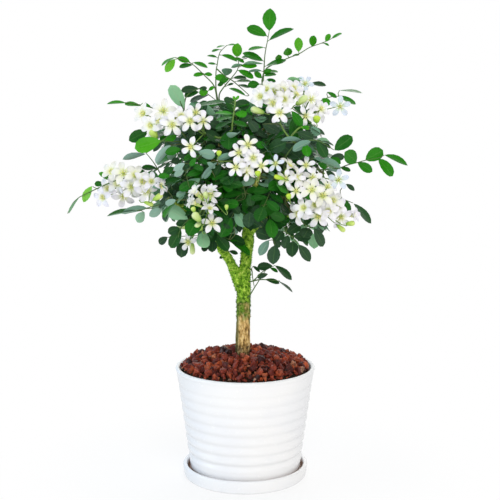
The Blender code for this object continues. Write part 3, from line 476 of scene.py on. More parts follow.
# %% Turned saucer and pot
POT_RIM_RADIUS = 80.0
POT_FOOT_RADIUS = 62.8
POT_FOOT_Z = 6.3
POT_WALL = 4.5
POT_FLOOR = 6.0
DRAIN_HOLE_RADIUS = 7.0
GROOVE_PITCH = 11.45
TOP_GROOVE_Z = 109.6
FOOT_GROOVE_Z = 20.0
SAUCER_RADIUS = 71.9
SAUCER_HEIGHT = 15.6
SAUCER_FLOOR_Z = 6.0
SAUCER_LIP = 2.4
TURNS = 144
WALL_STEP = 1.3
WALL_OVER_FOOT = 2.4
WALL_UNDER_RIM = 3


def pot_outer_radius(z):
    """Radius of the pot's plain outside at a height."""
    slope = (POT_RIM_RADIUS - 0.6 - POT_FOOT_RADIUS) / (POT_RIM_Z - POT_FOOT_Z)
    return POT_FOOT_RADIUS + slope * (z - POT_FOOT_Z)


def arc(centre_r, centre_z, radius, start, end, steps):
    """Points of an arc in the profile's plane, its angles in degrees."""
    angles = [math.radians(start + (end - start) * k / steps) for k in range(steps + 1)]
    return [(centre_r + radius * math.cos(a), centre_z + radius * math.sin(a)) for a in angles]


def turned(name, profile):
    """Profile of (radius, z) spun round the axis, with a closed skin that faces outwards."""
    build = bmesh.new()
    points = [build.verts.new(Vector((r, 0, z)) * MM) for r, z in profile]
    lines = [build.edges.new(pair) for pair in zip(points, points[1:])]
    if profile[0][0] > 0:
        lines.append(build.edges.new((points[-1], points[0])))
    whole = {"axis": UP, "cent": (0, 0, 0), "angle": 2 * math.pi, "steps": TURNS, "use_merge": True}
    bmesh.ops.spin(build, geom=points + lines, **whole)
    bmesh.ops.remove_doubles(build, verts=build.verts, dist=1e-6)
    bmesh.ops.recalc_face_normals(build, faces=build.faces)
    piece = shape_of(build, name, 50)
    scene.collection.objects.link(piece)
    return piece


r, h = SAUCER_RADIUS, SAUCER_HEIGHT
saucer_profile = [(0, 0), (r - 6.0, 0)] + arc(r - 5.4, 4.4, 4.4, -90, -12, 8)
saucer_profile += arc(r - SAUCER_LIP, h - SAUCER_LIP, SAUCER_LIP, 0, 180, 12)
saucer_profile += [(r - 5.3, h - 5.0)] + arc(r - 8.9, SAUCER_FLOOR_Z + 3.4, 3.4, 0, -90, 6)
saucer_profile += [(30, SAUCER_FLOOR_Z), (0, SAUCER_FLOOR_Z)]
saucer = turned("turned_saucer", saucer_profile)

wall_rows = int((POT_RIM_Z - WALL_UNDER_RIM - POT_FOOT_Z - WALL_OVER_FOOT) / WALL_STEP)
wall_zs = [POT_FOOT_Z + WALL_OVER_FOOT + WALL_STEP * k for k in range(wall_rows)]
floor_z = POT_FOOT_Z + POT_FLOOR
lip = 2.6
pot_profile = [(pot_outer_radius(POT_FOOT_Z) - lip, POT_FOOT_Z)]
pot_profile += [(pot_outer_radius(z), z) for z in wall_zs]
pot_profile += arc(POT_RIM_RADIUS - lip, POT_RIM_Z - lip, lip, 0, 180, 12)
pot_profile += [(pot_outer_radius(z) - POT_WALL, z) for z in (122, 100, 60, floor_z)]
pot_profile += [(DRAIN_HOLE_RADIUS, floor_z), (DRAIN_HOLE_RADIUS, POT_FOOT_Z)]
pot = turned("turned_pot", pot_profile)

# %% Throwing grooves in the pot's outside
sizes = dict.fromkeys(("Pitch", "Top", "Shallow", "Deep"), "Float")
grooves, given = new_tree("throwing_grooves", **sizes)
x, y, z = axes(put(grooves, "GeometryNodeInputPosition"))
flat = put(grooves, "ShaderNodeCombineXYZ", {0: x, 1: y})
outward = put(grooves, "ShaderNodeVectorMath", {0: flat}, operation="NORMALIZE")
below_top = given["Top"] - z
wave = (below_top / given["Pitch"] * (2 * math.pi)).math("COSINE")
soft_wave = (wave * 0.5 + 0.5).math("POWER", 1.5)
fall = (TOP_GROOVE_Z - FOOT_GROOVE_Z) * MM
depths = {0: below_top, 1: 0.0, 2: fall, 3: given["Shallow"], 4: given["Deep"]}
depth = put(grooves, "ShaderNodeMapRange", depths)
started = ramp(below_top, -0.5 * GROOVE_PITCH * MM, 0.0)
started *= ramp(z, FOOT_GROOVE_Z * MM, (FOOT_GROOVE_Z + 5.0) * MM)
shift = scaled(outward, soft_wave * depth * started * -1.0)
inputs = {0: given["Geometry"], "Selection": carried(grooves, "outside"), "Offset": shift}
end_tree(put(grooves, "GeometryNodeSetPosition", inputs), given["Finish"])

glaze, tree, shader, where = new_finish("white_glaze", IOR=1.5, Coat_Weight=0.3, Coat_Roughness=0.1)
broad = grain(where, 28.0, 3.0)
fine = grain(where, 1.6, 3.0)
white = mixed(tree, ramp(broad, 0.3, 0.7), (0.885, 0.89, 0.905), (0.92, 0.915, 0.91))
# Low inside the saucer, on its floor and inner wall and on the pot's foot, the glaze turns brown, fading out
# between 9 and 14 mm up
x, y, z = axes(where)
from_axis = (x * x + y * y).math("SQRT")
in_saucer = from_axis.math("LESS_THAN", 67.6 * MM) * z.math("GREATER_THAN", 5.5 * MM)
low_brown_tint = in_saucer * ramp(z, 9.0 * MM, 14.0 * MM, 0.85, 0.0)
tint = mixed(tree, low_brown_tint, white, (0.42, 0.22, 0.12))
dress(shader, tint, ramp(fine, 0.3, 0.8, 0.16, 0.30), broad + fine * 0.12, 0.5, 0.35)


def on_wall(place):
    """1 where a point of the pot lies on the outside of its wall, else 0."""
    outside = math.hypot(place.x, place.y) > (pot_outer_radius(place.z / MM) - 0.5) * MM
    return float(outside and wall_zs[0] - 0.1 < place.z / MM < 126)


carry(pot, "outside", [on_wall(vertex.co) for vertex in pot.data.vertices])
groove = {"Pitch": GROOVE_PITCH, "Top": TOP_GROOVE_Z, "Shallow": 0.55, "Deep": 2.15}
grown(pot, grooves, Finish=glaze, **{name: value * MM for name, value in groove.items()})
saucer.data.materials.append(glaze)
settle(pot, "white_glaze", "pot")
settle(saucer, "white_glaze", "saucer")

# %% [markdown]
# ## Soil and lava gravel
# The pot is filled with dark potting mix, and heaped with red lava stones of 3 to 13 mm. The mix is a
# mound that the stones half sink into. The stones are eight rough lumps with flat faces and blunt
# corners, as broken rock has. A tree scatters them over the mound in three layers, from large to
# small, turned and sized at random.

# %% Potting mix under the stones
GRAVEL_EDGE_Z = 125.0
GRAVEL_MOUND = 14.0
SOIL_TOP_Z = 112.0
SOIL_CLEAR = 0.6
SOIL_UNDER_STONES = 2.6
STONES_OVER_SOLID = 4.0
STONES_AT_TRUNK = 1.4
TRUNK_X = -2.7


def pot_inner_radius(z):
    """Radius of the pot's inside at a height."""
    return pot_outer_radius(z) - POT_WALL


def heap_height(radius):
    """Height of the stones' middles: a little over the solid, most of all round the trunk."""
    share = min(radius / pot_inner_radius(GRAVEL_EDGE_Z), 1.0)
    solid = GRAVEL_EDGE_Z + GRAVEL_MOUND * (1 - share**2.2)
    return solid + STONES_OVER_SOLID + STONES_AT_TRUNK * (1 - share**2)


edge, low = pot_inner_radius(SOIL_TOP_Z) - SOIL_CLEAR, SOIL_TOP_Z + SOIL_CLEAR
mound = [(edge * k / 26, heap_height(edge * k / 26) - SOIL_UNDER_STONES) for k in range(27)]
soil_mound = turned("soil_under_gravel", mound + [(edge, low), (0, low)])
for vertex in soil_mound.data.vertices:
    place = vertex.co / MM
    if place.z > SOIL_TOP_Z + 4:
        vertex.co.z += (noise.noise(place / 3.1) * 1.1 + noise.noise(place / 1.2) * 0.5) * MM

earth, tree, shader, where = new_finish("potting_soil", Specular_IOR_Level=0.25)
crumbs = grain(where, 1.1, 4.0, 0.7)
bits = put(tree, "ShaderNodeTexVoronoi", {"Vector": where, "Scale": 600.0})
dark = tones(crumbs, (0.3, (0.008, 0.005, 0.003)), (0.55, (0.035, 0.020, 0.012)), (0.8, (0.11, 0.07, 0.045)))
dress(shader, dark, ramp(crumbs, 0.3, 0.7, 0.8, 1.0), crumbs + bits, 1.2)
soil_mound.data.materials.append(earth)
cad_soil = frame["nodes"]["potting_soil"]
cad_soil.data.materials.clear()
cad_soil.data.materials.append(earth)
settle(soil_mound, "potting_soil")

# %% Lava stones
STONE_SHAPES = 8
STONE_CORNERS = 15


def stone(number):
    """Hull of random corners near a stretched ball with a radius of about one unit."""
    lump = bmesh.new()
    stretch = Vector((draw.uniform(1.0, 1.35), draw.uniform(0.8, 1.05), draw.uniform(0.66, 0.88)))
    for k in range(STONE_CORNERS):
        way = Vector([draw.gauss(0, 1) for axis in range(3)]).normalized()
        lump.verts.new(way * draw.uniform(0.84, 1.08) * stretch)
    hull = bmesh.ops.convex_hull(lump, input=lump.verts)
    inside = [part for part in hull["geom_interior"] if isinstance(part, bmesh.types.BMVert)]
    bmesh.ops.delete(lump, geom=inside, context="VERTS")
    lump.normal_update()
    return shape_of(lump, f"lava_stone_{number}", 24)


draw = random.Random(21)
stones = gathered("lava_stone_shapes", [stone(number) for number in range(STONE_SHAPES)])

sizes = dict.fromkeys(("Spacing", "Smallest", "Largest"), "Float")
strewn, given = new_tree("strewn_stones", Shapes="Collection", Seed="Int", **sizes)
seed = given["Seed"]
inputs = {0: given["Geometry"], "Distance Min": given["Spacing"], "Density Max": 90000.0, "Seed": seed}
scattered = put(strewn, "GeometryNodeDistributePointsOnFaces", inputs, distribute_method="POISSON")
inputs = {0: scattered, "Name": "tone", "Value": drawn(seed, 0.0, 1.0)}
toned = put(strewn, "GeometryNodeStoreNamedAttribute", inputs, data_type="FLOAT")
turn = rotation(drawn(seed, (0, 0, 0), (6.28, 6.28, 6.28), "FLOAT_VECTOR"))
girth = drawn(seed + 7.0, given["Smallest"], given["Largest"])
which = drawn(seed, 0, STONE_SHAPES - 1, "INT")
end_tree(set_on(toned, given["Shapes"], turn, girth, which), given["Finish"])

lava, tree, shader, where = new_finish("red_lava", Specular_IOR_Level=0.45)
pits = put(tree, "ShaderNodeTexVoronoi", {"Vector": where, "Scale": 900.0, "Randomness": 1.0})
coarse = grain(where, 2.2, 4.0, 0.65)
fine = grain(where, 0.5, 3.0, 0.7)
body = tones(
    facts(tree, "tone"),
    (0.0, (0.030, 0.010, 0.010)),
    (0.12, (0.095, 0.014, 0.010)),
    (0.40, (0.235, 0.032, 0.018)),
    (0.68, (0.400, 0.062, 0.025)),
    (0.90, (0.600, 0.120, 0.040)),
    (0.985, (0.560, 0.190, 0.090)),
    (1.0, (0.52, 0.30, 0.20)),
)
# Painted shade: where the coarse bump is low, in its hollows, the stones turn nearly black
shade = mixed(tree, ramp(coarse, 0.30, 0.66), mixed(tree, 0.72, body, (0.014, 0.004, 0.004)), body)
dusty = mixed(tree, ramp(fine, 0.58, 0.82, 0.0, 0.5), shade, (0.52, 0.16, 0.08))
height = coarse * 1.6 + ramp(pits, 0.0, 0.5) * 0.5
# Pores: the pits of the bump turn nearly black, as painted shade inside them
pores_and_shade = mixed(tree, ramp(pits, 0.02, 0.20, 0.65, 0.0), dusty, (0.030, 0.006, 0.005))
dress(shader, pores_and_shade, ramp(fine, 0.35, 0.65, 0.30, 0.75), height, 1.0)

RINGS, SPOKES = 20, 48
OPEN_BEFORE_TRUNK = 7.0


def sheet(name, drop, inset, off_trunk):
    """Ring-shaped sheet over the heap, from the pot's wall to the trunk, wider open before it."""
    heap = bmesh.new()
    spots = {}
    for i in range(RINGS + 1):
        for k in range(SPOKES):
            angle = 2 * math.pi * k / SPOKES
            bare = off_trunk + OPEN_BEFORE_TRUNK * max(0.0, -math.sin(angle)) ** 3
            inner = Vector((TRUNK_X + bare * math.cos(angle), bare * math.sin(angle)))
            outer = Vector((math.cos(angle), math.sin(angle))) * (pot_inner_radius(GRAVEL_EDGE_Z) - inset)
            flat = inner.lerp(outer, i / RINGS)
            spots[i, k] = heap.verts.new(Vector((*flat, heap_height(flat.length) - drop)) * MM)
    for i in range(RINGS):
        for k in range(SPOKES):
            after = (k + 1) % SPOKES
            heap.faces.new((spots[i, k], spots[i + 1, k], spots[i + 1, after], spots[i, after]))
    piece = shape_of(heap, name)
    scene.collection.objects.link(piece)
    return piece


# Name, seed, then in mm: drop below the heap, gaps to the wall and to the trunk, spacing and radii
layers = []
for name, seed, drop, inset, off_trunk, *sizes in (
    ("lava_stones", 4, -0.6, 5.0, 13.5, 8.4, 4.0, 6.4),
    ("lava_pebbles", 6, 0.5, 3.4, 11.6, 5.4, 2.4, 3.8),
    ("lava_chips", 9, 0.7, 1.2, 9.6, 3.6, 1.4, 2.4),
):
    spacing, smallest, largest = (size * MM for size in sizes)
    values = {"Spacing": spacing, "Smallest": smallest, "Largest": largest, "Seed": seed}
    layers.append(grown(sheet(name, drop, inset, off_trunk), strewn, Shapes=stones, Finish=lava, **values))
settle(layers[0], "red_lava", "lava_gravel")
for layer in layers[1:]:
    settle(layer, "red_lava")

# %% [markdown]
# ## Where everything in the crown stands
# The crown's solids follow rules: limbs along seen points, clusters where the photograph shows them,
# shoots that fill what is left. The next cells repeat those rules with the same seeds. Where a solid
# was tried in several places before it stood clear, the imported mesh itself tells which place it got:
# a candidate is right where the mesh has its corners.

# %% Trunk and limbs as seen
# Pixel across, pixel down, depth and radius in mm, from below outwards
TRUNK_FOOT_Z = 97.0
TRUNK_FOOT_RADIUS = 8.3
TRUNK_STRAIGHT_Z = 146.0
LIMB_STEP = 21.0
TRUNK_SEEN = (
    (243.2, 318, 0, 7.6), (243.6, 296, 0, 7.5), (244.6, 276, 0, 6.0),
    (246.4, 256, 0, 5.8), (247.6, 240, 0, 6.6), (248.4, 226, 0, 5.6),
)
LIMBS = (
    ((241, 289, 0, 6.0), (234, 270, -3, 4.9), (225, 253, -9, 4.2), (207, 231, -18, 3.4), (184, 208, -26, 2.6),
     (160, 192, -28, 1.9)),
    ((248, 236, 0, 5.0), (246, 210, -2, 4.0), (243.7, 189, -4, 3.4), (240, 160, 2, 2.8), (232, 128, 8, 2.2),
     (220, 104, 10, 1.6)),
    ((248, 234, 0, 4.6), (259, 221, 6, 3.7), (280, 203, 14, 3.0), (304, 187, 14, 2.4), (324, 172, 6, 1.8)),
    ((243.5, 184, -2, 2.9), (253, 158, 8, 2.5), (264, 130, 14, 2.1), (268, 104, 8, 1.6), (266, 92, 2, 1.3)),
    ((247, 226, -1, 3.6), (246, 213, -22, 2.9), (252, 194, -46, 2.3), (260, 174, -62, 1.6)),
    ((244, 196, -4, 3.0), (230, 178, -26, 2.5), (212, 160, -46, 2.0), (198, 146, -56, 1.5)),
    ((247, 224, 2, 3.8), (247, 200, 30, 3.0), (244, 172, 56, 2.4), (240, 148, 72, 1.6)),
    ((243, 194, 0, 3.0), (222, 180, 32, 2.4), (198, 166, 56, 1.7)),
    ((254, 226, 4, 3.4), (274, 208, 34, 2.7), (294, 186, 58, 1.7)),
    ((240, 162, 1, 2.5), (220, 144, -4, 2.2), (192, 126, -12, 1.8), (166, 114, -14, 1.3)),
    ((250, 232, -2, 3.4), (264, 224, -24, 2.8), (288, 216, -44, 2.2), (308, 210, -48, 1.6)),
)


def smooth_path(points, step):
    """Points about step apart on a Catmull-Rom curve through the given ones."""
    path = []
    for i in range(len(points) - 1):
        p0, p1 = points[max(i - 1, 0)], points[i]
        p2, p3 = points[i + 1], points[min(i + 2, len(points) - 1)]
        pieces = max(1, round((p2 - p1).length / step))
        for k in range(pieces):
            t = k / pieces
            squared = 2 * p0 - 5 * p1 + 4 * p2 - p3
            cubed = 3 * p1 - p0 - 3 * p2 + p3
            path.append(0.5 * (2 * p1 + (p2 - p0) * t + squared * t**2 + cubed * t**3))
    path.append(points[-1].copy())
    return path


def limb_paths(step):
    """Centrelines of the trunk and its limbs, each a list of (point, radius)."""
    foot = Vector((TRUNK_X, 0, TRUNK_FOOT_Z))
    straight = Vector((TRUNK_X, 0, TRUNK_STRAIGHT_Z))
    trunk = [(foot, TRUNK_FOOT_RADIUS), (straight, TRUNK_FOOT_RADIUS)]
    trunk += [(from_photo(px, py, depth), radius) for px, py, depth, radius in TRUNK_SEEN]
    paths = [trunk]
    for limb in LIMBS:
        points = smooth_path([from_photo(*seen[:3]) for seen in limb], step)
        total = sum((b - a).length for a, b in zip(points, points[1:]))
        walked, path = 0.0, []
        for i, point in enumerate(points):
            walked += (point - points[i - 1]).length if i else 0.0
            place = walked / total * (len(limb) - 1)
            k = min(int(place), len(limb) - 2)
            path.append((point, limb[k][3] + (limb[k + 1][3] - limb[k][3]) * (place - k)))
        paths.append(path)
    return paths


paths = limb_paths(LIMB_STEP)
print(len(paths), "lengths of wood")

# %% Flower clusters as seen
# The pixels of their stars, or for those at the back the cluster's direction and how many stars it has
CLUSTERS = {
    "top_right": (
        (259, 97), (267, 89), (277, 92), (270, 103), (284, 100), (280, 113), (290, 88),
        (296, 95),
    ),
    "top_far_right": ((311, 101), (310, 114), (321, 109), (305, 83), (340, 107)),
    "top_left": ((145, 114), (163, 110), (151, 127), (173, 125), (181, 116)),
    "upper_left": ((190, 121), (203, 120), (195, 110), (191, 147)),
    "left": (
        (124, 173), (113, 173), (135, 175), (118, 185), (105, 195), (123, 197), (133, 187),
        (142, 180), (147, 191), (159, 184),
    ),
    "lower_left": ((211, 187), (194, 190), (191, 201), (211, 203), (214, 221), (188, 241)),
    "centre": ((248, 145), (239, 153), (253, 158), (236, 167), (248, 171), (261, 166)),
    "centre_right": ((277, 164), (285, 179), (296, 178), (313, 178), (307, 165), (296, 190)),
    "right": (
        (300, 212), (304, 203), (315, 204), (322, 195), (314, 191), (327, 187), (318, 217),
        (329, 209), (338, 203), (341, 217),
    ),
    "far_right": ((338, 180),),
}
BACK_CLUSTERS = (
    ("back_left", (-0.66, 0.70, 0.28), 4),
    ("back_right", (0.60, 0.76, 0.25), 4),
    ("back_low", (0.0, 0.97, -0.24), 3),
)

# %% Rules of the crown's layout
GAP = 0.3
CROWN_CENTRE = Vector((-2.7, 0.0, 358.0))
CROWN_HALF = Vector((138.0, 122.0, 98.0))
CORNER_FOUND = 0.05
FRONT_SKIN = 0.92
SEAT_STEP = 4.0
SEATS_TRIED = 60
TWIG_RADIUS = 1.3
TWIG_PAST_LEAF = 1.7
TWIG_OFFSETS = (0.0, 0.25, 0.5)
TWIG_LIFTS = (0.0, 0.18, -0.18)


def search_tree(points):
    """Search tree over points."""
    found = KDTree(len(points))
    for i, point in enumerate(points):
        found.insert(point, i)
    found.balance()
    return found


def corners_of(node):
    """Search tree over the corners of a CAD node's mesh, in millimetres."""
    return search_tree([vertex.co / MM for vertex in frame["nodes"][node].data.vertices])


def has_corner(corners, place):
    """True where a node's mesh has a corner at a place."""
    return corners.find(place)[2] < CORNER_FOUND


def crown_share(point):
    """0 at the crown's centre, 1 on its surface."""
    offset = point - CROWN_CENTRE
    return math.sqrt(sum((offset[i] / CROWN_HALF[i]) ** 2 for i in range(3)))


def front_depth(px, py):
    """Depth of the crown's near surface at a pixel, or a little behind its edge outside it."""
    centre = from_photo(px, py, 0.0)
    across = ((centre.x - CROWN_CENTRE.x) / CROWN_HALF.x) ** 2
    rise = ((centre.z - CROWN_CENTRE.z) / CROWN_HALF.z) ** 2
    return -CROWN_HALF.y * FRONT_SKIN * math.sqrt(max(0.03, 1 - 0.9 * across - 0.9 * rise))


def seats_near(point):
    """The places on the wood nearest to a point, as (place on the centreline, radius there)."""
    seats = []
    for path in paths:
        for (a, thick_a), (b, thick_b) in zip(path, path[1:]):
            steps = max(1, round((b - a).length / SEAT_STEP))
            for k in range(steps):
                t = (k + 0.5) / steps
                seats.append((a.lerp(b, t), thick_a + (thick_b - thick_a) * t))
    seats.sort(key=lambda seat: (seat[0] - point).length)
    return seats[:SEATS_TRIED]


def twigs_to(goal, arrival, shortest):
    """Ways from just off the wood to a goal and a little past it, the nearest first."""
    for seat, thick in seats_near(goal):
        span = (goal - seat).length
        if span < shortest:
            continue
        for lift in TWIG_LIFTS:
            middle = seat.lerp(goal - arrival * (0.4 * span), 0.62) + UP * (lift * span)
            leaving = (middle - seat).normalized()
            for off in TWIG_OFFSETS:
                start = seat + leaving * (thick + GAP + off)
                yield [start, middle, goal + arrival * TWIG_PAST_LEAF]


def twig_of(corners, goal, arrival, shortest):
    """The one of those ways whose first corner the CAD node has."""
    for path in twigs_to(goal, arrival, shortest):
        side = (path[1] - path[0]).normalized().orthogonal().normalized()
        if has_corner(corners, path[0] + side * TWIG_RADIUS):
            return path
    return None

# %% Where the flowers stand
GOLDEN_ANGLE = math.radians(137.5)
BACK_CLUSTER_SHARE = 0.97
BACK_CLUSTER_RADIUS = 19.0
HUB_DEPTH = 19.0
HUB_DEPTH_A_STAR = 0.7
FLOWER_RADIUS = 11.5
PETAL_TIP_RISE = 0.9
STAR_TO_EYE = 0.35
STAR_RISE = 0.12
STAR_SHIFTS = (0, 4, -4, 8, -8, 12, -12, 16)
STAR_TURNS = (0.0, 0.42, 0.84)
TIPS_NEEDED = 2
SHORTEST_STALK = 8.0


def star_tips(centre, facing, spin):
    """The tips of a star's five petals."""
    side = facing.orthogonal().normalized()
    other = facing.cross(side)
    turns = [spin + 2 * math.pi / 5 * petal for petal in range(5)]
    ways = [side * math.cos(turn) + other * math.sin(turn) for turn in turns]
    return [centre + way * FLOWER_RADIUS + facing * PETAL_TIP_RISE for way in ways]


def wanted_clusters():
    """(name, where its stars are) of every cluster, shown ones first."""
    wanted = []
    for name, stars in CLUSTERS.items():
        wanted.append((name, [from_photo(*pixel, front_depth(*pixel)) for pixel in stars]))
    for name, direction, count in BACK_CLUSTERS:
        outward = Vector(direction).normalized()
        middle = CROWN_CENTRE + outward * CROWN_HALF * BACK_CLUSTER_SHARE
        side = outward.cross(UP).normalized()
        rise = side.cross(outward)
        spots = []
        for k in range(count):
            angle, reach = GOLDEN_ANGLE * k, BACK_CLUSTER_RADIUS * math.sqrt(k / count)
            spots.append(middle + side * reach * math.cos(angle) + rise * reach * math.sin(angle))
        wanted.append((name, spots))
    return wanted


clusters = []
draw = random.Random(11)
for name, spots in wanted_clusters():
    corners = corners_of("flower_cluster_" + name)
    middle = sum(spots, Vector()) / len(spots)
    inward = (CROWN_CENTRE - middle).normalized()
    hub = middle + inward * (HUB_DEPTH + HUB_DEPTH_A_STAR * len(spots))
    stars = []
    for spot in spots:
        from_eye = (spot - EYE).normalized() if spot.y < CROWN_CENTRE.y else inward
        facing = ((spot - hub).normalized() - from_eye * STAR_TO_EYE + UP * STAR_RISE).normalized()
        spin = draw.uniform(0, 2 * math.pi)
        places = [spot + from_eye * shift for shift in STAR_SHIFTS]
        tried = [(place, facing, spin + turn) for place in places for turn in STAR_TURNS]
        found = [sum(has_corner(corners, tip) for tip in star_tips(*star)) for star in tried]
        if max(found) >= TIPS_NEEDED:
            stars.append(tried[found.index(max(found))])
    stalk = twig_of(corners, hub, (hub - CROWN_CENTRE).normalized(), SHORTEST_STALK)
    clusters.append({"hub": hub, "stars": stars, "stalk": stalk})
    print(name, len(stars), "of", len(spots), "stars found,", "and its stalk" if stalk else "but no stalk")


# %% How a pinnate leaf is laid out
FIRST_PAIR_SHARE = 0.26
LAST_PAIR_SHARE = 0.82
LEAFLET_SPREAD = math.radians(64)
LEAFLET_CROWDING = 0.43
NEAR_TIP = 0.8


class Leaf:
    """One pinnate leaf: an arched rachis with leaflets left and right in turn and one at its tip."""

    def __init__(self, base, ahead, face, rachis, leaflets, length, half_width, droop, roll):
        self.base, self.rachis, self.leaflets = base, rachis, leaflets
        self.length, self.half_width, self.roll = length, half_width, roll
        self.droop = droop
        self.ahead = ahead.normalized()
        self.face = (face - self.ahead * face.dot(self.ahead)).normalized()

    def station(self, share):
        """Point, direction and upper side of the rachis at a share of its length."""
        turn = self.droop * share
        forward = self.rachis * math.sin(turn) / self.droop
        fall = self.rachis * (1 - math.cos(turn)) / self.droop
        point = self.base + self.ahead * forward - self.face * fall
        ahead = self.ahead * math.cos(turn) - self.face * math.sin(turn)
        face = self.ahead * math.sin(turn) + self.face * math.cos(turn)
        return point, ahead, face

    def leaflet_frames(self):
        """(base, along, forwards, normal, length, half width) of each leaflet, the tip's last."""
        frames = []
        beside = self.leaflets - 1
        step = (LAST_PAIR_SHARE - FIRST_PAIR_SHARE) / max(beside - 1, 1)
        widest = LEAFLET_CROWDING * 2 * step * self.rachis * math.sin(LEAFLET_SPREAD)
        for k in range(beside):
            share = FIRST_PAIR_SHARE + step * k
            side = 1 if k % 2 else -1
            point, ahead, face = self.station(share)
            outwards = face.cross(ahead) * side
            along = ahead * math.cos(LEAFLET_SPREAD) + outwards * math.sin(LEAFLET_SPREAD)
            forwards = ahead * math.sin(LEAFLET_SPREAD) - outwards * math.cos(LEAFLET_SPREAD)
            tilt = Matrix.Rotation(self.roll * side + 0.22 * math.sin(5 * k + 9 * self.roll), 3, along)
            size = 0.82 + 0.18 * math.sin(math.pi * share)
            width = min(self.half_width * size, widest)
            frames.append((point, along, tilt @ forwards, tilt @ face, self.length * size, width))
        point, ahead, face = self.station(1.0)
        frames.append((point, ahead, -face.cross(ahead), face, self.length * 1.08, self.half_width * 1.05))
        return frames


def blade_corner(leaflet):
    """Corner at the end of a leaflet's faceted blade."""
    base, along, forwards, normal, length, half_width = leaflet
    cup = 0.12 * 0.12 * half_width - 0.10 * length
    return base + along * length + forwards * (0.12 * half_width) + normal * cup


# %% Where the filling leaves stand
SHOWN_SHOOTS = 21
FILLER_SHOOTS = 20
FILLER_REACHES = (0.62, 0.54, 0.70, 0.46, 0.38)
FILLER_LEAVES = 3
FILLER_LEAFLETS = 4
FILLER_RACHIS = 44.0
FILLER_LEAFLET = 26.0
FILLER_HALF_WIDTH = 8.8
FILLER_ATTEMPTS = 26
SHORTEST_TWIG = 16.0
REAL_LEAFLETS = 7
REAL_LEAFLET_SIZE = 0.68
LONGER_RACHIS = 1.12
leaves = []
twigs = []


def filler_leaf(base, aim, swing, upright, size):
    """Leaf of a filler shoot, leaning off the twig's aim with its face turned up and outwards."""
    lean = draw.uniform(0.15, 0.5) if upright else draw.uniform(0.75, 1.35)
    side = aim.orthogonal().normalized()
    spoke = side * math.cos(swing) + aim.cross(side) * math.sin(swing)
    ahead = (aim * math.cos(lean) + spoke * math.sin(lean)).normalized()
    loose = Vector((draw.uniform(-0.3, 0.3), draw.uniform(-0.3, 0.3), 0.75))
    face = loose + (base - CROWN_CENTRE).normalized() * 0.65
    rachis, length, half_width = size * FILLER_RACHIS, size * FILLER_LEAFLET, size * FILLER_HALF_WIDTH
    droop, roll = draw.uniform(0.2, 0.6), draw.uniform(-0.2, 0.3)
    return Leaf(base, ahead, face, rachis, FILLER_LEAFLETS, length, half_width, droop, roll)


def outward_at(k, count):
    """Direction k of count that are spread evenly over a ball."""
    rise = 1 - 2 * (k + 0.5) / count
    ring = math.sqrt(1 - rise * rise)
    return Vector((ring * math.cos(GOLDEN_ANGLE * k), ring * math.sin(GOLDEN_ANGLE * k), rise))


draw = random.Random(5)
for k in range(FILLER_SHOOTS):
    outward = outward_at(k, FILLER_SHOOTS)
    corners = corners_of(f"leafy_shoot_{SHOWN_SHOOTS + 1 + k:02d}")
    anchors = [CROWN_CENTRE + outward * CROWN_HALF * reach for reach in FILLER_REACHES]
    found = (twig_of(corners, anchor, outward, SHORTEST_TWIG) for anchor in anchors)
    twig = next(filter(None, found), None)
    if not twig:
        print("filler shoot", k, "not found")
        continue
    twigs.append((twig, TWIG_RADIUS))
    last_stretch = twig[-1] - twig[-2]
    aim = last_stretch.normalized()
    turn = draw.uniform(0, 2 * math.pi)
    for j in range(FILLER_LEAVES):
        base = twig[-1] - aim * TWIG_PAST_LEAF - last_stretch * (0.33 * j)
        for attempt in range(FILLER_ATTEMPTS):
            swing = turn + GOLDEN_ANGLE * j + draw.uniform(-0.7, 0.7) * (1 + attempt / 8)
            size = draw.uniform(0.88, 1.1) * (1 - 0.01 * attempt)
            leaf = filler_leaf(base, aim, swing, j == 0, size)
            if has_corner(corners, blade_corner(leaf.leaflet_frames()[-1])):
                leaves.append(leaf)
                break
# A solid's leaf has four large leaflets; the real one has seven smaller ones on a longer rachis
for leaf in leaves:
    leaf.leaflets = REAL_LEAFLETS
    leaf.length *= REAL_LEAFLET_SIZE
    leaf.half_width *= REAL_LEAFLET_SIZE
    leaf.rachis *= LONGER_RACHIS
    leaf.age = draw.uniform(0.05, 0.34)
solid_count = len(leaves)
print(solid_count, "leaves on", len(twigs), "twigs stand where the solids of", FILLER_SHOOTS, "shoots are")

# %% [markdown]
# ## The leaflets that the photograph shows
# The outer leaflets can be read one by one: where each starts and ends, how wide it looks and how
# young it is. `seen_leaflet` stands each up in space. A leaflet that looks too wide for its length
# points towards the viewer, and one that looks too narrow is turned on edge, with its upper face
# skywards. A width below zero means that the pale underside shows.

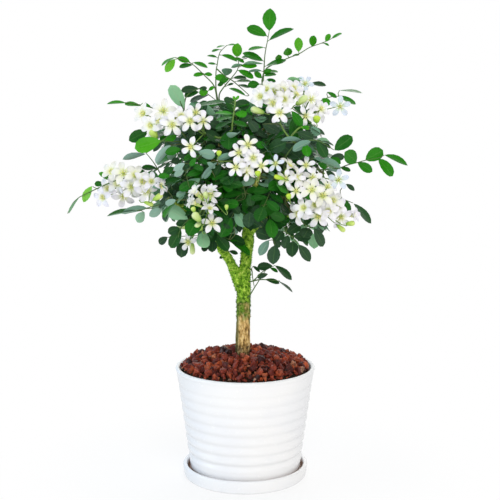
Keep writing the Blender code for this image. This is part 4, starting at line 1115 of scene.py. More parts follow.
# %% Stems and leaflets as seen
# Stems: pixel points from the foot outwards, then the depths of foot and end in mm; a 1 marks a
# young and thick one
SEEN_STEMS = (
    (((218, 101), (216, 89), (216, 72), (217, 66), (218.5, 57), (220.5, 51.5), (226, 46)), 12, 22),
    (((217, 69), (225.5, 76.5), (233, 81), (249, 95)), 14, 2),
    (((219, 98), (220, 92.5), (227.5, 82.5), (233, 76), (237.5, 69.5), (238.5, 62), (237, 57)), 6, -8),
    (((263, 84), (264, 68), (265, 54), (267.7, 39.5), (269.2, 31)), -4, -11),
    (((262, 80), (267, 68), (287, 58.5), (299.5, 53.5), (309, 47.7), (319, 44), (328, 40.5), (333, 37.5)),
     4, 12),
    (((217, 100), (214, 86), (204, 75), (192, 64), (180, 59), (175, 57.5)), -4, -16),
    (((183, 109), (180, 101)), -24, -28),
    (((153, 108), (141, 105), (125, 102.5)), -12, -8),
    (((163, 178), (154, 163), (146, 153)), -40, -46),
    (((199, 88.5), (209, 95), (218, 102)), -18, -6),
    (((232, 130), (232.6, 121), (234, 112), (235.5, 99)), -82, -88, 1),
    (((316, 170), (332, 169), (341, 167.5), (347.5, 165), (358, 162.4), (366, 160.2), (378, 158),
      (384.5, 155.2)), -16, -27),
    (((296, 143), (303, 141), (318, 140.8), (334, 150)), -94, -110),
    (((296, 143), (290.5, 139), (293, 134), (300, 127.5), (309, 126.5)), -94, -78, 1),
    (((292, 141), (287, 135), (283, 129), (280, 123)), -93, -82, 1),
    (((105, 189), (98.5, 189), (92.5, 186.5)), -14, -16),
    (((79.5, 197), (73, 203), (67.5, 213.5)), -18, -20),
    (((166, 203), (147, 208), (137, 210.5)), -40, -38),
    (((253, 281), (256.5, 278), (263, 271.5), (275, 265.5)), -10, -22),
    (((253, 281), (262, 279.5), (280, 281)), -10, -20),
    (((264, 190), (258, 194), (252, 200)), -48, -36),
    (((294, 204.5), (286, 211), (280, 217)), -52, -40),
    (((285.5, 202), (282, 209), (279, 214)), -52, -40),
    (((322, 100), (330, 97), (340, 96)), 20, 28),
    (((188, 220), (181, 228), (178, 238)), -46, -50),
    (((215, 232), (222, 236), (230, 240)), -44, -50),
    (((270, 234), (275, 244), (272, 250)), -58, -62),
    (((286, 232), (293, 238), (298, 244)), -56, -60),
    (((304, 224), (310, 227), (314, 228)), -52, -54),
    (((330, 196), (342, 199), (353, 203)), -14, -18),
    (((249.5, 296), (254.4, 287.8), (258.3, 281.7), (262, 275.5), (266, 270)), -8, -16),
    (((252, 271), (252.6, 278), (254.2, 286.5)), -8, -12),
)
TRUNK_WINDOW = (226, 264, 227, 280)
# Leaflets: base, tip, width as seen, youth from 0 to 1, and layer from the back, 0, to the front, 3
SEEN_LEAFLETS = (
    (220, 49.6, 211.2, 50.6, 2.4, 0.45, 2), (217, 57.3, 207.3, 55.4, 2.6, 0.45, 2),
    (216.2, 64.2, 208, 63.1, 2.4, 0.45, 2), (225.4, 45.8, 216.2, 46.5, 1.6, 0.6, 2),
    (227, 45.4, 235.4, 44.2, 1.8, 0.55, 2), (221, 55, 237.5, 61.2, 4.4, 0.5, 2),
    (234, 57.5, 244.6, 62.2, 3.6, 0.5, 2), (225.5, 76, 228, 67.5, -10.5, 0.25, 1),
    (226, 77.5, 214.5, 77.5, 7, 0.62, 2), (229, 79, 219, 82.3, 5.5, 0.5, 1),
    (233, 78, 247, 77.6, 4.2, 0.2, 2), (235.4, 81.5, 251.5, 81.3, 3, 0.45, 2),
    (224, 83, 217.5, 85.5, 4, 0.3, 1), (226.5, 86, 233.5, 83.3, 2.2, 0.2, 1),
    (246, 96, 229.2, 88.2, 3.4, 0.5, 2), (237.5, 85, 250, 87.2, 3.2, 0.3, 2),
    (243, 64.6, 231, 67, -3.6, 0.3, 1), (238, 70.2, 253.8, 77.5, 6.5, 0.55, 2),
    (241, 66, 257.7, 65.8, 6.2, 0.65, 2), (236.9, 57, 237.5, 44.2, 10.5, 0.72, 3),
    (263.3, 61, 243, 53, 7.5, 0.38, 3), (264.5, 47.5, 247.7, 49.2, 3.4, 0.55, 2),
    (250, 56, 241.5, 57.3, -2.4, 0.5, 1), (265.6, 66.2, 286.5, 59.4, 5, 0.4, 2),
    (263.5, 64, 243.5, 63, -3.2, 0.4, 1), (262, 71, 248, 71, -2.8, 0.2, 1),
    (264, 72.5, 278.3, 70, 3.2, 0.5, 2), (264, 76, 276, 73, 3.8, 0.5, 2), (262, 78, 254, 72, 6, 0.55, 1),
    (263, 74, 271.5, 69.2, 5, 0.55, 1), (266, 80, 276, 80.5, 3.8, 0.35, 2), (259.5, 84, 248, 85, 8, 0.4, 1),
    (269.2, 31, 270, 8.8, 14.6, 0.50, 3), (267, 36, 246.7, 26.6, 9.5, 0.5, 3),
    (268.8, 40.5, 293.6, 28.4, 5.8, 0.45, 3), (278.5, 59.8, 278.5, 55.2, 7.2, 0.62, 2),
    (287.7, 55.8, 287.7, 48.6, 9, 0.64, 2), (298.5, 52, 298.5, 37.4, 9, 0.68, 2),
    (312, 46.4, 313.8, 36.5, 8, 0.64, 2), (325.5, 41.4, 330, 33.8, 5.2, 0.64, 2),
    (331.8, 38.6, 341.3, 32, 3.2, 0.62, 2), (323, 43, 329.5, 45.5, 2, 0.5, 2),
    (292, 56, 299.5, 54.4, 2, 0.4, 2), (176, 57, 160, 63.6, 2.6, 0.6, 2), (175, 59, 165, 72.4, 8.4, 0.80, 3),
    (190, 62, 177, 57.5, 6, 0.62, 2), (192.5, 65, 178.5, 66.5, 4.8, 0.4, 2),
    (193, 62.5, 207.5, 67.5, 4.2, 0.55, 2), (205, 74, 193.5, 75, 4.2, 0.6, 2),
    (204, 74, 212.5, 74.8, 4, 0.58, 2), (199, 88.8, 181, 90, 7.4, 0.05, 1),
    (199, 92, 184, 95.4, 6.4, 0.32, 2), (199, 88.6, 207.2, 88, 4, 0.08, 1),
    (208, 91, 200.4, 93, 7.2, 0.70, 3), (208.5, 90.5, 214, 86.5, 3.6, 0.65, 3),
    (209, 95, 189, 100, 5, 0.12, 2), (226, 101.5, 195.5, 105.5, 4.6, 0.3, 2),
    (222, 104, 199, 110.5, 6.5, 0.40, 3), (218, 102, 232, 108.5, 8.2, 0.12, 2),
    (234, 103.5, 250, 104.8, 10.5, 0.14, 1), (233, 102, 224, 98.5, 6.2, 0.1, 1),
    (235.5, 100.4, 233, 96, 3, 0.7, 3), (235.5, 100.4, 239, 95.8, 3, 0.7, 3),
    (233, 114, 213.5, 112.6, 3.8, 0.6, 3), (235, 114, 247, 113.6, 7, 0.62, 3),
    (234, 117, 216, 119.5, 3.4, 0.55, 3), (184, 108.5, 171.2, 85.6, -13, 0.55, 2),
    (126, 103, 107, 103.6, 3.2, 0.62, 2), (141, 106, 124.5, 102, 4.8, 0.58, 2),
    (151, 107, 141, 103.5, 3.8, 0.55, 2), (148, 131, 128.5, 140.5, 12, 0.3, 1),
    (160.8, 140.8, 134.6, 148, 15, 0.66, 3), (146, 154, 122, 158.5, -6.2, 0.0, 1),
    (171, 145, 154.5, 161, -8, 0.0, 2), (163, 142, 153, 151.5, 5.5, 0.04, 1),
    (181, 149, 164.5, 153, 8.5, 0.36, 3), (165, 141, 176.5, 135.5, 7, 0.6, 2),
    (195, 128, 211.5, 138, 9.5, 0.08, 1), (180.5, 160, 171.5, 162, 7, 0.02, 1),
    (186, 156, 178, 155, 5.5, 0.02, 1), (197, 159, 184, 167.5, 9, 0.12, 2),
    (198, 152, 215, 155.5, -9.5, 0.1, 2), (157, 168.5, 141, 167, 5.4, 0.2, 2),
    (229, 131, 228.6, 147.8, 16.5, 0.26, 2), (217, 160, 233, 154, -6.8, 0.1, 3),
    (238, 157, 231, 153, 4.5, 0.2, 2), (174, 167, 163, 175, 8, 0.25, 2), (184, 170, 174, 176, -6.4, 0.1, 2),
    (186, 176, 203, 169.5, 7, 0.35, 3), (218, 162, 200.5, 178, -3.6, 0.0, 3),
    (183, 180, 162, 182, 7, 0.28, 2), (195, 181, 179, 190, 9, 0.34, 2), (186, 192, 176, 196, -6.4, 0.1, 2),
    (230, 171.5, 211, 178.5, 8, 0.28, 2), (239, 174, 230, 175.5, 3.4, 0.62, 3),
    (244, 186, 220, 180, 12, 0.22, 3), (223, 197, 212, 192, 7.4, 0.3, 2), (243, 193, 224, 196, 6.6, 0.34, 2),
    (225, 203, 237, 204, 9.5, 0.40, 2), (249, 193, 252, 206.5, 8.4, 0.18, 2),
    (254, 190, 275, 181, 8.6, 0.08, 1), (280, 182, 268.6, 189.6, 11.4, 0.34, 2),
    (280, 195, 271.4, 207.5, 13, 0.08, 2), (268, 150, 283.5, 143, 14, 0.16, 2),
    (265, 155, 256, 152, 6.5, 0.04, 1), (204, 149, 216, 146, 6.6, 0.28, 1),
    (334.5, 150.3, 351.8, 136.4, 13, 0.30, 3), (356.5, 162, 345.4, 152.2, 14, 0.5, 3),
    (330, 158, 345, 156.4, 8, 0.08, 1), (331, 158, 340.5, 163.5, 7.4, 0.5, 2),
    (365.4, 160.2, 383, 149.8, 13.4, 0.46, 2), (384.4, 155, 407.6, 165, 6.4, 0.5, 2),
    (378.2, 158.6, 393.8, 176, 10.4, 0.54, 2), (357.6, 162.6, 373, 172, 9, 0.46, 2),
    (341, 168, 351, 170.5, 4.6, 0.36, 2), (313, 158, 341.4, 167.6, -6.6, 0.1, 3),
    (317, 141, 326.8, 157.5, 10.5, 0.24, 3), (303, 141, 280, 140, -4.4, 0.0, 2),
    (311, 141, 292, 150, -8.6, 0.0, 2), (297, 132, 313.5, 138, 9, 0.1, 3),
    (309, 126.5, 325, 134, 4.2, 0.04, 3), (310, 127, 319.5, 134.5, -8, 0.2, 2),
    (300, 128, 309, 127, 3.6, 0.6, 3), (321, 141, 334, 145.6, 2, 0.2, 2),
    (322, 143, 331.5, 148, 3.4, 0.06, 1), (305, 144, 308, 156.5, 9.6, 0.5, 3),
    (286, 150, 299, 157, 12, 0.08, 1), (278, 143, 292, 151.6, 13, 0.1, 1),
    (324, 169, 337.5, 171.5, -3, 0.1, 2), (326, 171, 335, 177.5, 6.2, 0.14, 1),
    (346, 184, 354.5, 190.5, 4.8, 0.1, 1), (300, 189.5, 311, 200, 6.4, 0.45, 3),
    (188, 219.5, 165, 207.5, -14, 0.5, 3), (190, 221, 176, 224, 7.4, 0.2, 2),
    (180, 228, 168, 232, 8.4, 0.16, 2), (181, 229, 170.4, 247.8, 11, 0.2, 3),
    (167.5, 237, 158.5, 243.5, 7.2, 0.1, 1), (184, 240, 181, 254.5, 12, 0.08, 1),
    (204, 231, 203, 247, -13, 0.6, 2), (206, 244, 204, 250, 6.6, 0.08, 1),
    (213, 240, 212, 250.4, 9.4, 0.08, 1), (216, 232, 210, 241, 8.4, 0.16, 1),
    (215, 233, 229, 250.5, 11, 0.26, 3), (222, 236, 245.4, 243, 9.6, 0.14, 2),
    (229.5, 240, 251, 254, 7.4, 0.42, 3), (235, 230, 225, 231, 5.6, 0.06, 1),
    (234, 218, 226, 226, 9.4, 0.1, 1), (250, 212, 248.6, 226.4, 12.4, 0.04, 3),
    (272, 237, 256, 231.4, 12.4, 0.02, 3), (269, 240, 259, 255.6, -8.6, 0.0, 2),
    (199, 207, 184, 207, 6.8, 0.36, 2), (224, 256, 219.5, 258.2, 3.4, 0.1, 1),
    (229, 251, 238, 253.6, 4.4, 0.1, 1), (275, 213, 281, 229, 8.4, 0.14, 2),
    (285, 213, 286, 224, 7.6, 0.34, 2), (256, 215, 268, 228, 7.6, 0.08, 1),
    (271, 226, 273, 238, 7.6, 0.04, 1), (283, 231, 276, 240.5, 10, 0.06, 2),
    (288, 235, 284, 247.6, 9.2, 0.04, 1), (287, 234, 299.4, 224, 10, 0.16, 2),
    (293, 236, 311.6, 238, 9.8, 0.12, 3), (293, 241, 292, 255, 12.6, 0.06, 3),
    (298.5, 244.5, 310.6, 262, 9.8, 0.1, 2), (309, 228, 304, 236, 12.4, 0.05, 2),
    (314, 228, 324.6, 246.6, 9.4, 0.08, 2), (304, 226, 309.6, 217, 6.8, 0.2, 1),
    (316, 222, 328.4, 225, 6.6, 0.08, 1), (273, 238, 280.4, 247, 7.6, 0.12, 1),
    (275, 245, 273, 262.4, 13, 0.04, 3), (272.5, 265.8, 257.5, 266.8, 8.4, 0.18, 2),
    (274.8, 265.5, 292, 279, 6.8, 0.2, 2), (270, 268, 278, 272.2, 3.6, 0.45, 1),
    (268, 274, 257, 277, 5.6, 0.06, 1), (265, 279.4, 280, 283, 4.8, 0.24, 2),
    (278, 281, 293, 291.6, 2.4, 0.2, 2), (252.6, 266, 260, 272, 3.4, 0.2, 1),
    (92, 186, 83.4, 202, 8.2, 0.86, 3), (79.5, 197, 67.8, 213.2, -2, 0.5, 3),
    (113, 180.5, 98.5, 172, 6.4, 0.62, 2), (104, 184, 94.5, 183.5, 5.6, 0.3, 2),
    (156, 187, 146, 173, 9, 0.5, 0), (145, 171, 135.5, 171.5, 4.4, 0.3, 0),
    (155, 169, 142, 167, 5.6, 0.3, 1), (147.5, 208, 122, 210, -6.8, 0.1, 2),
    (137, 210.5, 106, 215.7, 4, 0.3, 2), (144.5, 212, 137, 222, -9, 0.3, 2),
    (162, 209, 149, 216, -8.4, 0.1, 2), (166, 203, 161.6, 209, -4.4, 0.0, 2),
    (353.5, 203.5, 372.2, 223.4, 7.4, 0.16, 2), (346, 200, 349, 213.4, 6.8, 0.4, 1),
    (309, 84, 326, 84.6, 4.8, 0.14, 2), (304, 80.4, 295, 79, -3.2, 0.4, 2), (300, 81, 287, 79, -5.4, 0.7, 2),
    (322, 98.5, 330, 104.5, 7, 0.6, 2), (327, 92, 337, 97.4, 4.2, 0.45, 2),
    (338, 96, 356.4, 103.6, 5.2, 0.5, 2), (339, 90.4, 362.6, 92, 2, 0.4, 2),
    (291.6, 111, 302.4, 126, 9, 0.46, 3), (293, 107, 309, 113, 6.8, 0.20, 3),
    (262, 124, 280, 132.6, 10, 0.04, 1), (248, 120, 258, 131, 9, 0.04, 1), (300, 116, 312, 124, 7, 0.2, 1),
    (240, 122, 252, 116, 7, 0.1, 1), (208, 122, 220, 126, 8, 0.08, 1), (246, 137, 258, 141, 7, 0.05, 1),
    (290, 222, 298, 212, 8, 0.1, 1), (262, 205, 252, 214, 9, 0.1, 1), (232, 205, 240, 214, 8, 0.12, 1),
    (262, 192, 272, 198, 8, 0.06, 1), (304, 150, 314, 162, 8, 0.1, 1), (172, 196, 184, 203, 7, 0.2, 1),
    (290, 156, 303, 152, 8, 0.1, 1), (232, 107, 249, 103.5, 4.2, 0.42, 2),
    (300, 127, 309.5, 128.5, 3.6, 0.7, 3), (232, 121, 214, 127, 4.4, 0.34, 3),
    (233, 122, 247, 126, 5.4, 0.3, 2), (212, 170, 203.5, 178.5, -5, 0.0, 3),
    (185, 163, 174, 170, -6, 0.0, 3), (207, 162, 215, 168, -5, 0.1, 3), (166, 188, 152, 187, -5, 0.1, 3),
    (176, 200, 165, 204, -6, 0.0, 3), (170, 176, 158, 176, 6, 0.45, 3), (214, 196, 207, 202, 6, 0.4, 2),
    (196, 158, 190, 166, 5.5, 0.42, 3), (222, 186, 233, 190, 7, 0.4, 3), (318, 163, 327, 168, 6, 0.42, 2),
    (296, 147, 306, 149, 6, 0.4, 2), (256, 142, 264, 147, 7, 0.4, 2),
)
BLADE_RATIO = 0.50
WIDEST_RATIO = 0.66
LEAF_SKIN = 0.80
LAYER_STEP = 11.0
BACK_LAYER = 20.0
STEM_REACH_PX = 6.0

seen_stems = []
for points, foot_depth, end_depth, *young in SEEN_STEMS:
    last = len(points) - 1
    depths = [foot_depth + (end_depth - foot_depth) * i / last for i in range(last + 1)]
    line = [from_photo(*point, depth) for point, depth in zip(points, depths)]
    seen_stems.append((smooth_path(line, 2.0), bool(young)))


def stem_depth(px, py):
    """Depth of the seen stem that passes nearest to a pixel, or nothing."""
    points = [point for line, young in seen_stems for point in line]
    apart, depth = min((math.dist(to_photo(point), (px, py)), point.y) for point in points)
    return depth if apart < STEM_REACH_PX else None


def seen_leaflet(bx, by, tx, ty, wide, layer):
    """A leaflet's frame, as Leaf.leaflet_frames gives it, from where it is seen."""
    depth = stem_depth(bx, by)
    if depth is None:
        depth = front_depth(bx, by) * LEAF_SKIN + BACK_LAYER - LAYER_STEP * layer
    base, tip = from_photo(bx, by, depth), from_photo(tx, ty, depth)
    to_eye = (EYE - base).normalized()
    seen_length = (tip - base).length
    seen_width = abs(wide) * seen_length / math.dist((tx, ty), (bx, by))
    length = max(seen_length, seen_width / WIDEST_RATIO)
    tip += (EYE - tip).normalized() * math.sqrt(length**2 - seen_length**2)
    along = (tip - base).normalized()
    width = max(BLADE_RATIO * length, seen_width * 1.02)
    open_share = seen_width / width
    towards = (to_eye - along * to_eye.dot(along)).normalized()
    aside = along.cross(towards)
    if aside.z < 0:
        aside = -aside
    normal = towards * (open_share if wide > 0 else -open_share) + aside * math.sqrt(1 - open_share**2)
    return base, along, normal.cross(along), normal, length, width / 2


seen_leaflets = [(seen_leaflet(*seen, layer), age) for *seen, age, layer in SEEN_LEAFLETS]
print(len(seen_leaflets), "leaflets as seen on", len(seen_stems), "stems")

# %% Flowers and buds as seen
# Flowers: pixel across and down, a petal's direction in degrees, how far it faces right and up, size,
# kind, tone from 0, bluish white that is painted shade, to 1, creamy, and for some the mm by which it stands
# nearer
SEEN_FLOWERS = (
    (146.5, 191, 95, 0.15, -0.25, 1.16, 2, 0.4), (123.5, 196, 110, -0.1, -0.35, 1.16, 2, 0.4),
    (104, 197, 170, -0.55, -0.2, 1.1, 3, 0.2), (108.5, 188.5, 120, -0.45, 0.1, 1.1, 3, 0.4),
    (118, 184, 80, -0.35, 0.15, 1.1, 3, 0.8), (123.5, 173.5, 100, -0.15, 0.35, 1.16, 2, 1.0),
    (135, 176, 60, 0.1, 0.35, 1.1, 3, 1.0), (112.5, 172, 140, -0.45, 0.3, 1.1, 3, 1.0),
    (142, 182, 60, 0.3, 0.2, 1.1, 3, 0.7), (131.5, 187, 90, 0.0, 0.05, 1.1, 2, 0.6),
    (159.5, 186, 30, 0.75, 0.1, 0.95, 3, 0.3), (275.5, 163.5, 90, 0.0, 0.0, 0.86, 0, 0.0),
    (286, 178.5, 75, -0.3, -0.1, 0.9, 1, 0.5), (296, 177.5, 68, 0.1, 0.0, 0.9, 1, 0.6),
    (306, 165.5, 88, 0.0, 0.35, 0.9, 1, 0.4), (312.5, 177.5, 86, 0.0, 0.1, 0.95, 1, 0.6),
    (296, 191, 84, 0.0, 0.1, 0.92, 1, 0.7), (338.5, 180, 90, 0.05, 0.1, 1.02, 1, 0.0),
    (322.5, 196, 100, 0.1, 0.35, 1.12, 2, 1.0), (312, 190, 70, -0.2, 0.3, 1.12, 2, 1.0),
    (304.5, 208, 110, -0.4, 0.1, 1.1, 3, 0.7), (299, 213.5, 130, -0.45, -0.2, 1.1, 2, 0.7),
    (315, 205, 80, 0.0, 0.2, 1.1, 3, 0.7), (332.5, 201, 40, 0.35, 0.35, 1.1, 3, 0.8),
    (318, 216, 95, 0.0, -0.3, 1.16, 2, 0.5), (328, 211, 90, 0.15, 0.0, 1.1, 3, 0.6),
    (336.5, 206.5, 40, 0.4, 0.2, 1.1, 3, 0.6), (340.5, 217, 100, 0.2, -0.3, 1.16, 2, 0.3),
    (350, 215.5, 10, 0.85, 0.1, 1.0, 4, 0.3), (172, 124.5, 92, 0.0, -0.15, 1.14, 2, 0.7),
    (163.5, 111, 80, -0.1, 0.25, 1.16, 2, 0.9), (181, 116.5, 100, 0.1, 0.3, 1.0, 3, 0.7),
    (190, 121, 90, 0.0, 0.0, 1.05, 2, 0.7), (203, 121, 92, 0.15, -0.05, 0.98, 1, 0.5),
    (195.5, 113, 70, 0.2, 0.3, 1.0, 1, 0.5), (144, 114, 150, -0.5, 0.2, 1.1, 3, 0.9),
    (151.5, 125.5, 200, -0.5, -0.1, 1.1, 3, 0.8), (191, 146.5, 68, -0.35, -0.3, 1.06, 1, 0.6),
    (279.5, 112.5, 91, 0.0, -0.05, 1.02, 2, 0.5, 15), (273, 103, 95, -0.2, 0.0, 1.0, 2, 0.7),
    (284, 99.5, 60, 0.15, 0.1, 1.0, 3, 0.8), (283, 91, 85, 0.1, 0.4, 1.0, 3, 0.9),
    (274, 92, 110, -0.15, 0.3, 1.05, 2, 0.9), (261, 97, 140, -0.4, 0.15, 1.05, 3, 0.8),
    (267, 90, 100, -0.3, 0.45, 1.0, 3, 0.9), (293, 89, 60, 0.3, 0.5, 1.0, 3, 0.6),
    (305, 84, 60, 0.1, 0.5, 0.9, 1, 0.0), (311, 99.5, 50, 0.2, 0.1, 1.0, 1, 0.6),
    (305.5, 116, 45, 0.1, -0.1, 0.95, 1, 0.6), (340, 106.5, 90, 0.05, -0.05, 1.06, 1, 0.0),
    (210.5, 194.5, 50, 0.05, 0.86, 0.95, 4, 0.7), (198.5, 195.5, 120, -0.62, 0.66, 1.05, 4, 0.9),
    (197, 204.5, 150, -0.84, 0.42, 1.05, 4, 0.9), (209.5, 209.5, 62, 0.15, 0.70, 0.85, 3, 0.6),
    (212, 223.5, 95, 0.05, 0.35, 1.02, 2, 0.7), (188.5, 242, 88, -0.35, -0.25, 0.98, 1, 0.6),
)
# Buds: foot and tip pixels, width, how round and lime it is, and for some the mm nearer
SEEN_BUDS = (
    (296, 105, 307.5, 96, 7.5, 0, 9), (264, 113, 250.5, 108.5, 7, 0), (316.5, 123, 317, 115.4, 8, 1),
    (284, 179, 274, 176, 5, 1), (289.5, 199.5, 288, 193.4, 5.6, 1), (346, 224, 355, 223, 5.5, 0.5),
    (337, 225, 345, 231.5, 5, 0.5), (258, 176.5, 257.6, 170.6, 6.4, 1), (219, 156, 219, 150.4, 5.6, 1),
    (156.5, 139, 151, 129.5, 8.6, 0.6), (206.5, 199, 205, 191.5, 5.6, 0), (194.5, 212, 192.4, 206.8, 5, 0.6),
    (200.5, 221.5, 193, 212.6, 8, 0), (202, 230, 195.6, 223.4, 8.4, 0), (189.5, 228, 177, 225.4, 5.4, 0),
    (226.5, 210, 226.5, 204.4, 4.2, 0.6), (153, 200, 162.5, 194.4, 6, 0.6), (144, 202, 153.5, 205, 4.6, 0.6),
    (192.5, 243, 192.5, 254.6, 5.4, 0),
)
STAR_TAKEN_PX = 10.5
FRONT_STAR_DEPTH = 15
BEHIND_TAKEN = 4.0


def in_picture(place, right, rise):
    """Direction that points so far right and up in the picture, and for the rest to the viewer."""
    to_eye = (EYE - place).normalized()
    upward = (UP - to_eye * UP.dot(to_eye)).normalized()
    towards = math.sqrt(max(0.0, 1 - right**2 - rise**2))
    return upward.cross(to_eye) * right + upward * rise + to_eye * towards


def nearest_star(px, py):
    """(pixels apart, cluster's number, star's number) of the front star seen nearest to a pixel."""
    found = []
    for number, cluster in enumerate(clusters):
        for k, (centre, facing, spin) in enumerate(cluster["stars"]):
            if centre.y < FRONT_STAR_DEPTH:
                found.append((math.dist(to_photo(centre), (px, py)), number, k))
    return min(found)


blooms = [[] for cluster in clusters]
taken = set()
for px, py, angle, right, rise, size, kind, tone, *nearer in SEEN_FLOWERS:
    apart, number, k = nearest_star(px, py)
    free = (number, k) not in taken and apart < STAR_TAKEN_PX
    depth = clusters[number]["stars"][k][0].y + (0.0 if free else BEHIND_TAKEN) - sum(nearer)
    centre = from_photo(px, py, depth)
    if free:
        taken.add((number, k))
    facing, angle = in_picture(centre, right, rise), math.radians(angle)
    petal_way = in_picture(centre, math.cos(angle), math.sin(angle))
    x_way = (petal_way - facing * petal_way.dot(facing)).normalized()
    blooms[number].append((centre, facing, x_way, size, kind, tone))
seen_count = sum(len(group) for group in blooms)

# %% [markdown]
# ## More leaves
# The solids of the filling shoots carry about sixty leaves, and the real crown has over four times as
# many. The rest grows here by the same rule, on thin twigs from the nearest wood, wherever it hides no
# flower and stays inside the crown's edge as the photograph shows it.

# %% The crown's edge as seen, and further leaves within it
CROWN_EDGE = (
    (186, 108), (200, 102), (214, 103), (226, 100), (240, 98), (252, 101), (262, 100), (284, 102),
    (300, 112), (312, 124), (322, 138), (336, 152), (338, 168), (346, 182), (344, 204), (336, 224),
    (326, 232), (316, 242), (302, 250), (286, 244), (270, 240), (256, 230), (244, 226), (230, 236),
    (214, 240), (196, 244), (180, 240), (168, 232), (162, 216), (152, 208), (150, 190), (146, 172),
    (158, 162), (164, 148), (150, 140), (156, 130), (172, 126),
)
# Gaps in which the background shows: pixel across, down and radius
CROWN_GAPS = (
    (171, 157, 8), (180, 161, 7), (176, 169, 5), (193, 163, 5), (262, 138, 5), (246, 96, 6), (203, 82, 9),
)


def within_edge(place):
    """True where a place is seen inside the crown's edge."""
    x, y = to_photo(place)
    inside = False
    if any(math.dist((x, y), gap) < radius for *gap, radius in CROWN_GAPS):
        return False
    for (ax, ay), (bx, by) in zip(CROWN_EDGE, CROWN_EDGE[1:] + CROWN_EDGE[:1]):
        if (ay > y) != (by > y) and x < ax + (bx - ax) * (y - ay) / (by - ay):
            inside = not inside
    return inside


def spare_stars(number):
    """The stars of a cluster that no seen flower has taken the place of."""
    return [star for k, star in enumerate(clusters[number]["stars"]) if (number, k) not in taken]


FLOWER_CLEAR = 10.5
BUD_CLEAR = 6.5
CLEAR_BEFORE = 70
CLEAR_BEHIND = -3
BUD_NEARER = 2.0
kept_clear = [(bloom[0], bloom[1], FLOWER_CLEAR * bloom[3]) for group in blooms for bloom in group]
for number in range(len(clusters)):
    kept_clear += [(centre, facing, FLOWER_CLEAR) for centre, facing, spin in spare_stars(number)]
for foot_x, foot_y, tip_x, tip_y, *unused in SEEN_BUDS:
    apart, number, k = nearest_star(tip_x, tip_y)
    depth = clusters[number]["stars"][k][0].y - BUD_NEARER
    middle = from_photo((foot_x + tip_x) / 2, (foot_y + tip_y) / 2, depth)
    kept_clear.append((middle, (EYE - middle).normalized(), BUD_CLEAR))


def hides_flower(place):
    """True where a place lies before a flower, seen by the viewer or along the flower's own facing."""
    for centre, facing, clear in kept_clear:
        ways = [facing] if centre.y > 0 else [facing, (EYE - centre).normalized()]
        for way in ways:
            offset = place - centre
            along = offset.dot(way)
            if CLEAR_BEHIND < along < CLEAR_BEFORE and (offset - way * along).length < clear:
                return True
    return False


# A leaf of the solids that would end outside the edge is drawn in by a shorter rachis
RACHIS_CUTS = 5
RACHIS_LEFT = 0.86
for leaf in leaves:
    for attempt in range(RACHIS_CUTS):
        base, along_way, forwards, normal, length, half_width = leaf.leaflet_frames()[-1]
        if within_edge(base + along_way * NEAR_TIP * length):
            break
        leaf.rachis *= RACHIS_LEFT

EXTRA_SHOOTS = 84
EXTRA_LEAVES = 3
EXTRA_ATTEMPTS = 9
EXTRA_TWIG_RADIUS = 1.0
BACK_MARGIN = 6
EXTRA_AGES = (0.02, 0.10, 0.17, 0.24, 0.32, 0.40, 0.48)
draw = random.Random(37)
for k in range(EXTRA_SHOOTS):
    outward = outward_at(k, EXTRA_SHOOTS)
    reach = 0.40 + (0.28 if outward.y < 0 else 0.40) * (k * 0.618 % 1.0)
    anchor = CROWN_CENTRE + outward * CROWN_HALF * reach
    path = next(twigs_to(anchor, outward, SHORTEST_TWIG), None)
    if not path or not within_edge(anchor):
        continue
    height = (anchor.z - CROWN_CENTRE.z) / CROWN_HALF.z
    last_stretch = path[-1] - path[-2]
    aim = (last_stretch.normalized() + UP * 0.35 * (1 + height)).normalized()
    turn = draw.uniform(0, 2 * math.pi)
    before = len(leaves)
    for j in range(EXTRA_LEAVES):
        base = path[-1] - last_stretch * (0.28 * j)
        for attempt in range(EXTRA_ATTEMPTS):
            swing = turn + GOLDEN_ANGLE * j + draw.uniform(-0.9, 0.9) * (1 + attempt / 6)
            size = draw.uniform(0.72, 0.98) * (1.0 - 0.25 * max(height, 0.0))
            leaf = filler_leaf(base, aim, swing, j == 0, size)
            leaf.leaflets = draw.choice((4, 5, 6, 7))
            leaf.rachis *= LONGER_RACHIS
            tips = [leaflet[0] + leaflet[1] * leaflet[4] * NEAR_TIP for leaflet in leaf.leaflet_frames()]
            leaf.roll = draw.uniform(-0.4, 0.7)
            inside = all(within_edge(tip) and tip.y < cad_high.y / MM - BACK_MARGIN for tip in tips)
            if inside and not any(hides_flower(tip) for tip in tips[::2] + [leaf.station(0.5)[0]]):
                share = crown_share(tips[-1])
                leaf.age = 0.16 * max(height, 0.0) + 0.30 * max(share - 0.75, 0.0) + draw.choice(EXTRA_AGES)
                leaves.append(leaf)
                break
    if len(leaves) > before:
        twigs.append((path, EXTRA_TWIG_RADIUS))
print(len(leaves) - solid_count, "further leaves,", sum(leaf.leaflets for leaf in leaves), "leaflets in all")

# %% [markdown]
# ## Wood
# Trunk and limbs are swept along their centrelines, melted together as a volume, so that the limbs
# grow out of the trunk with soft crotches, and then roughened: furrows that run along the trunk, and
# knobs. The bark is corky and golden near the soil, and bright moss covers it from about five
# centimetres above, so the finish blends the two by height.

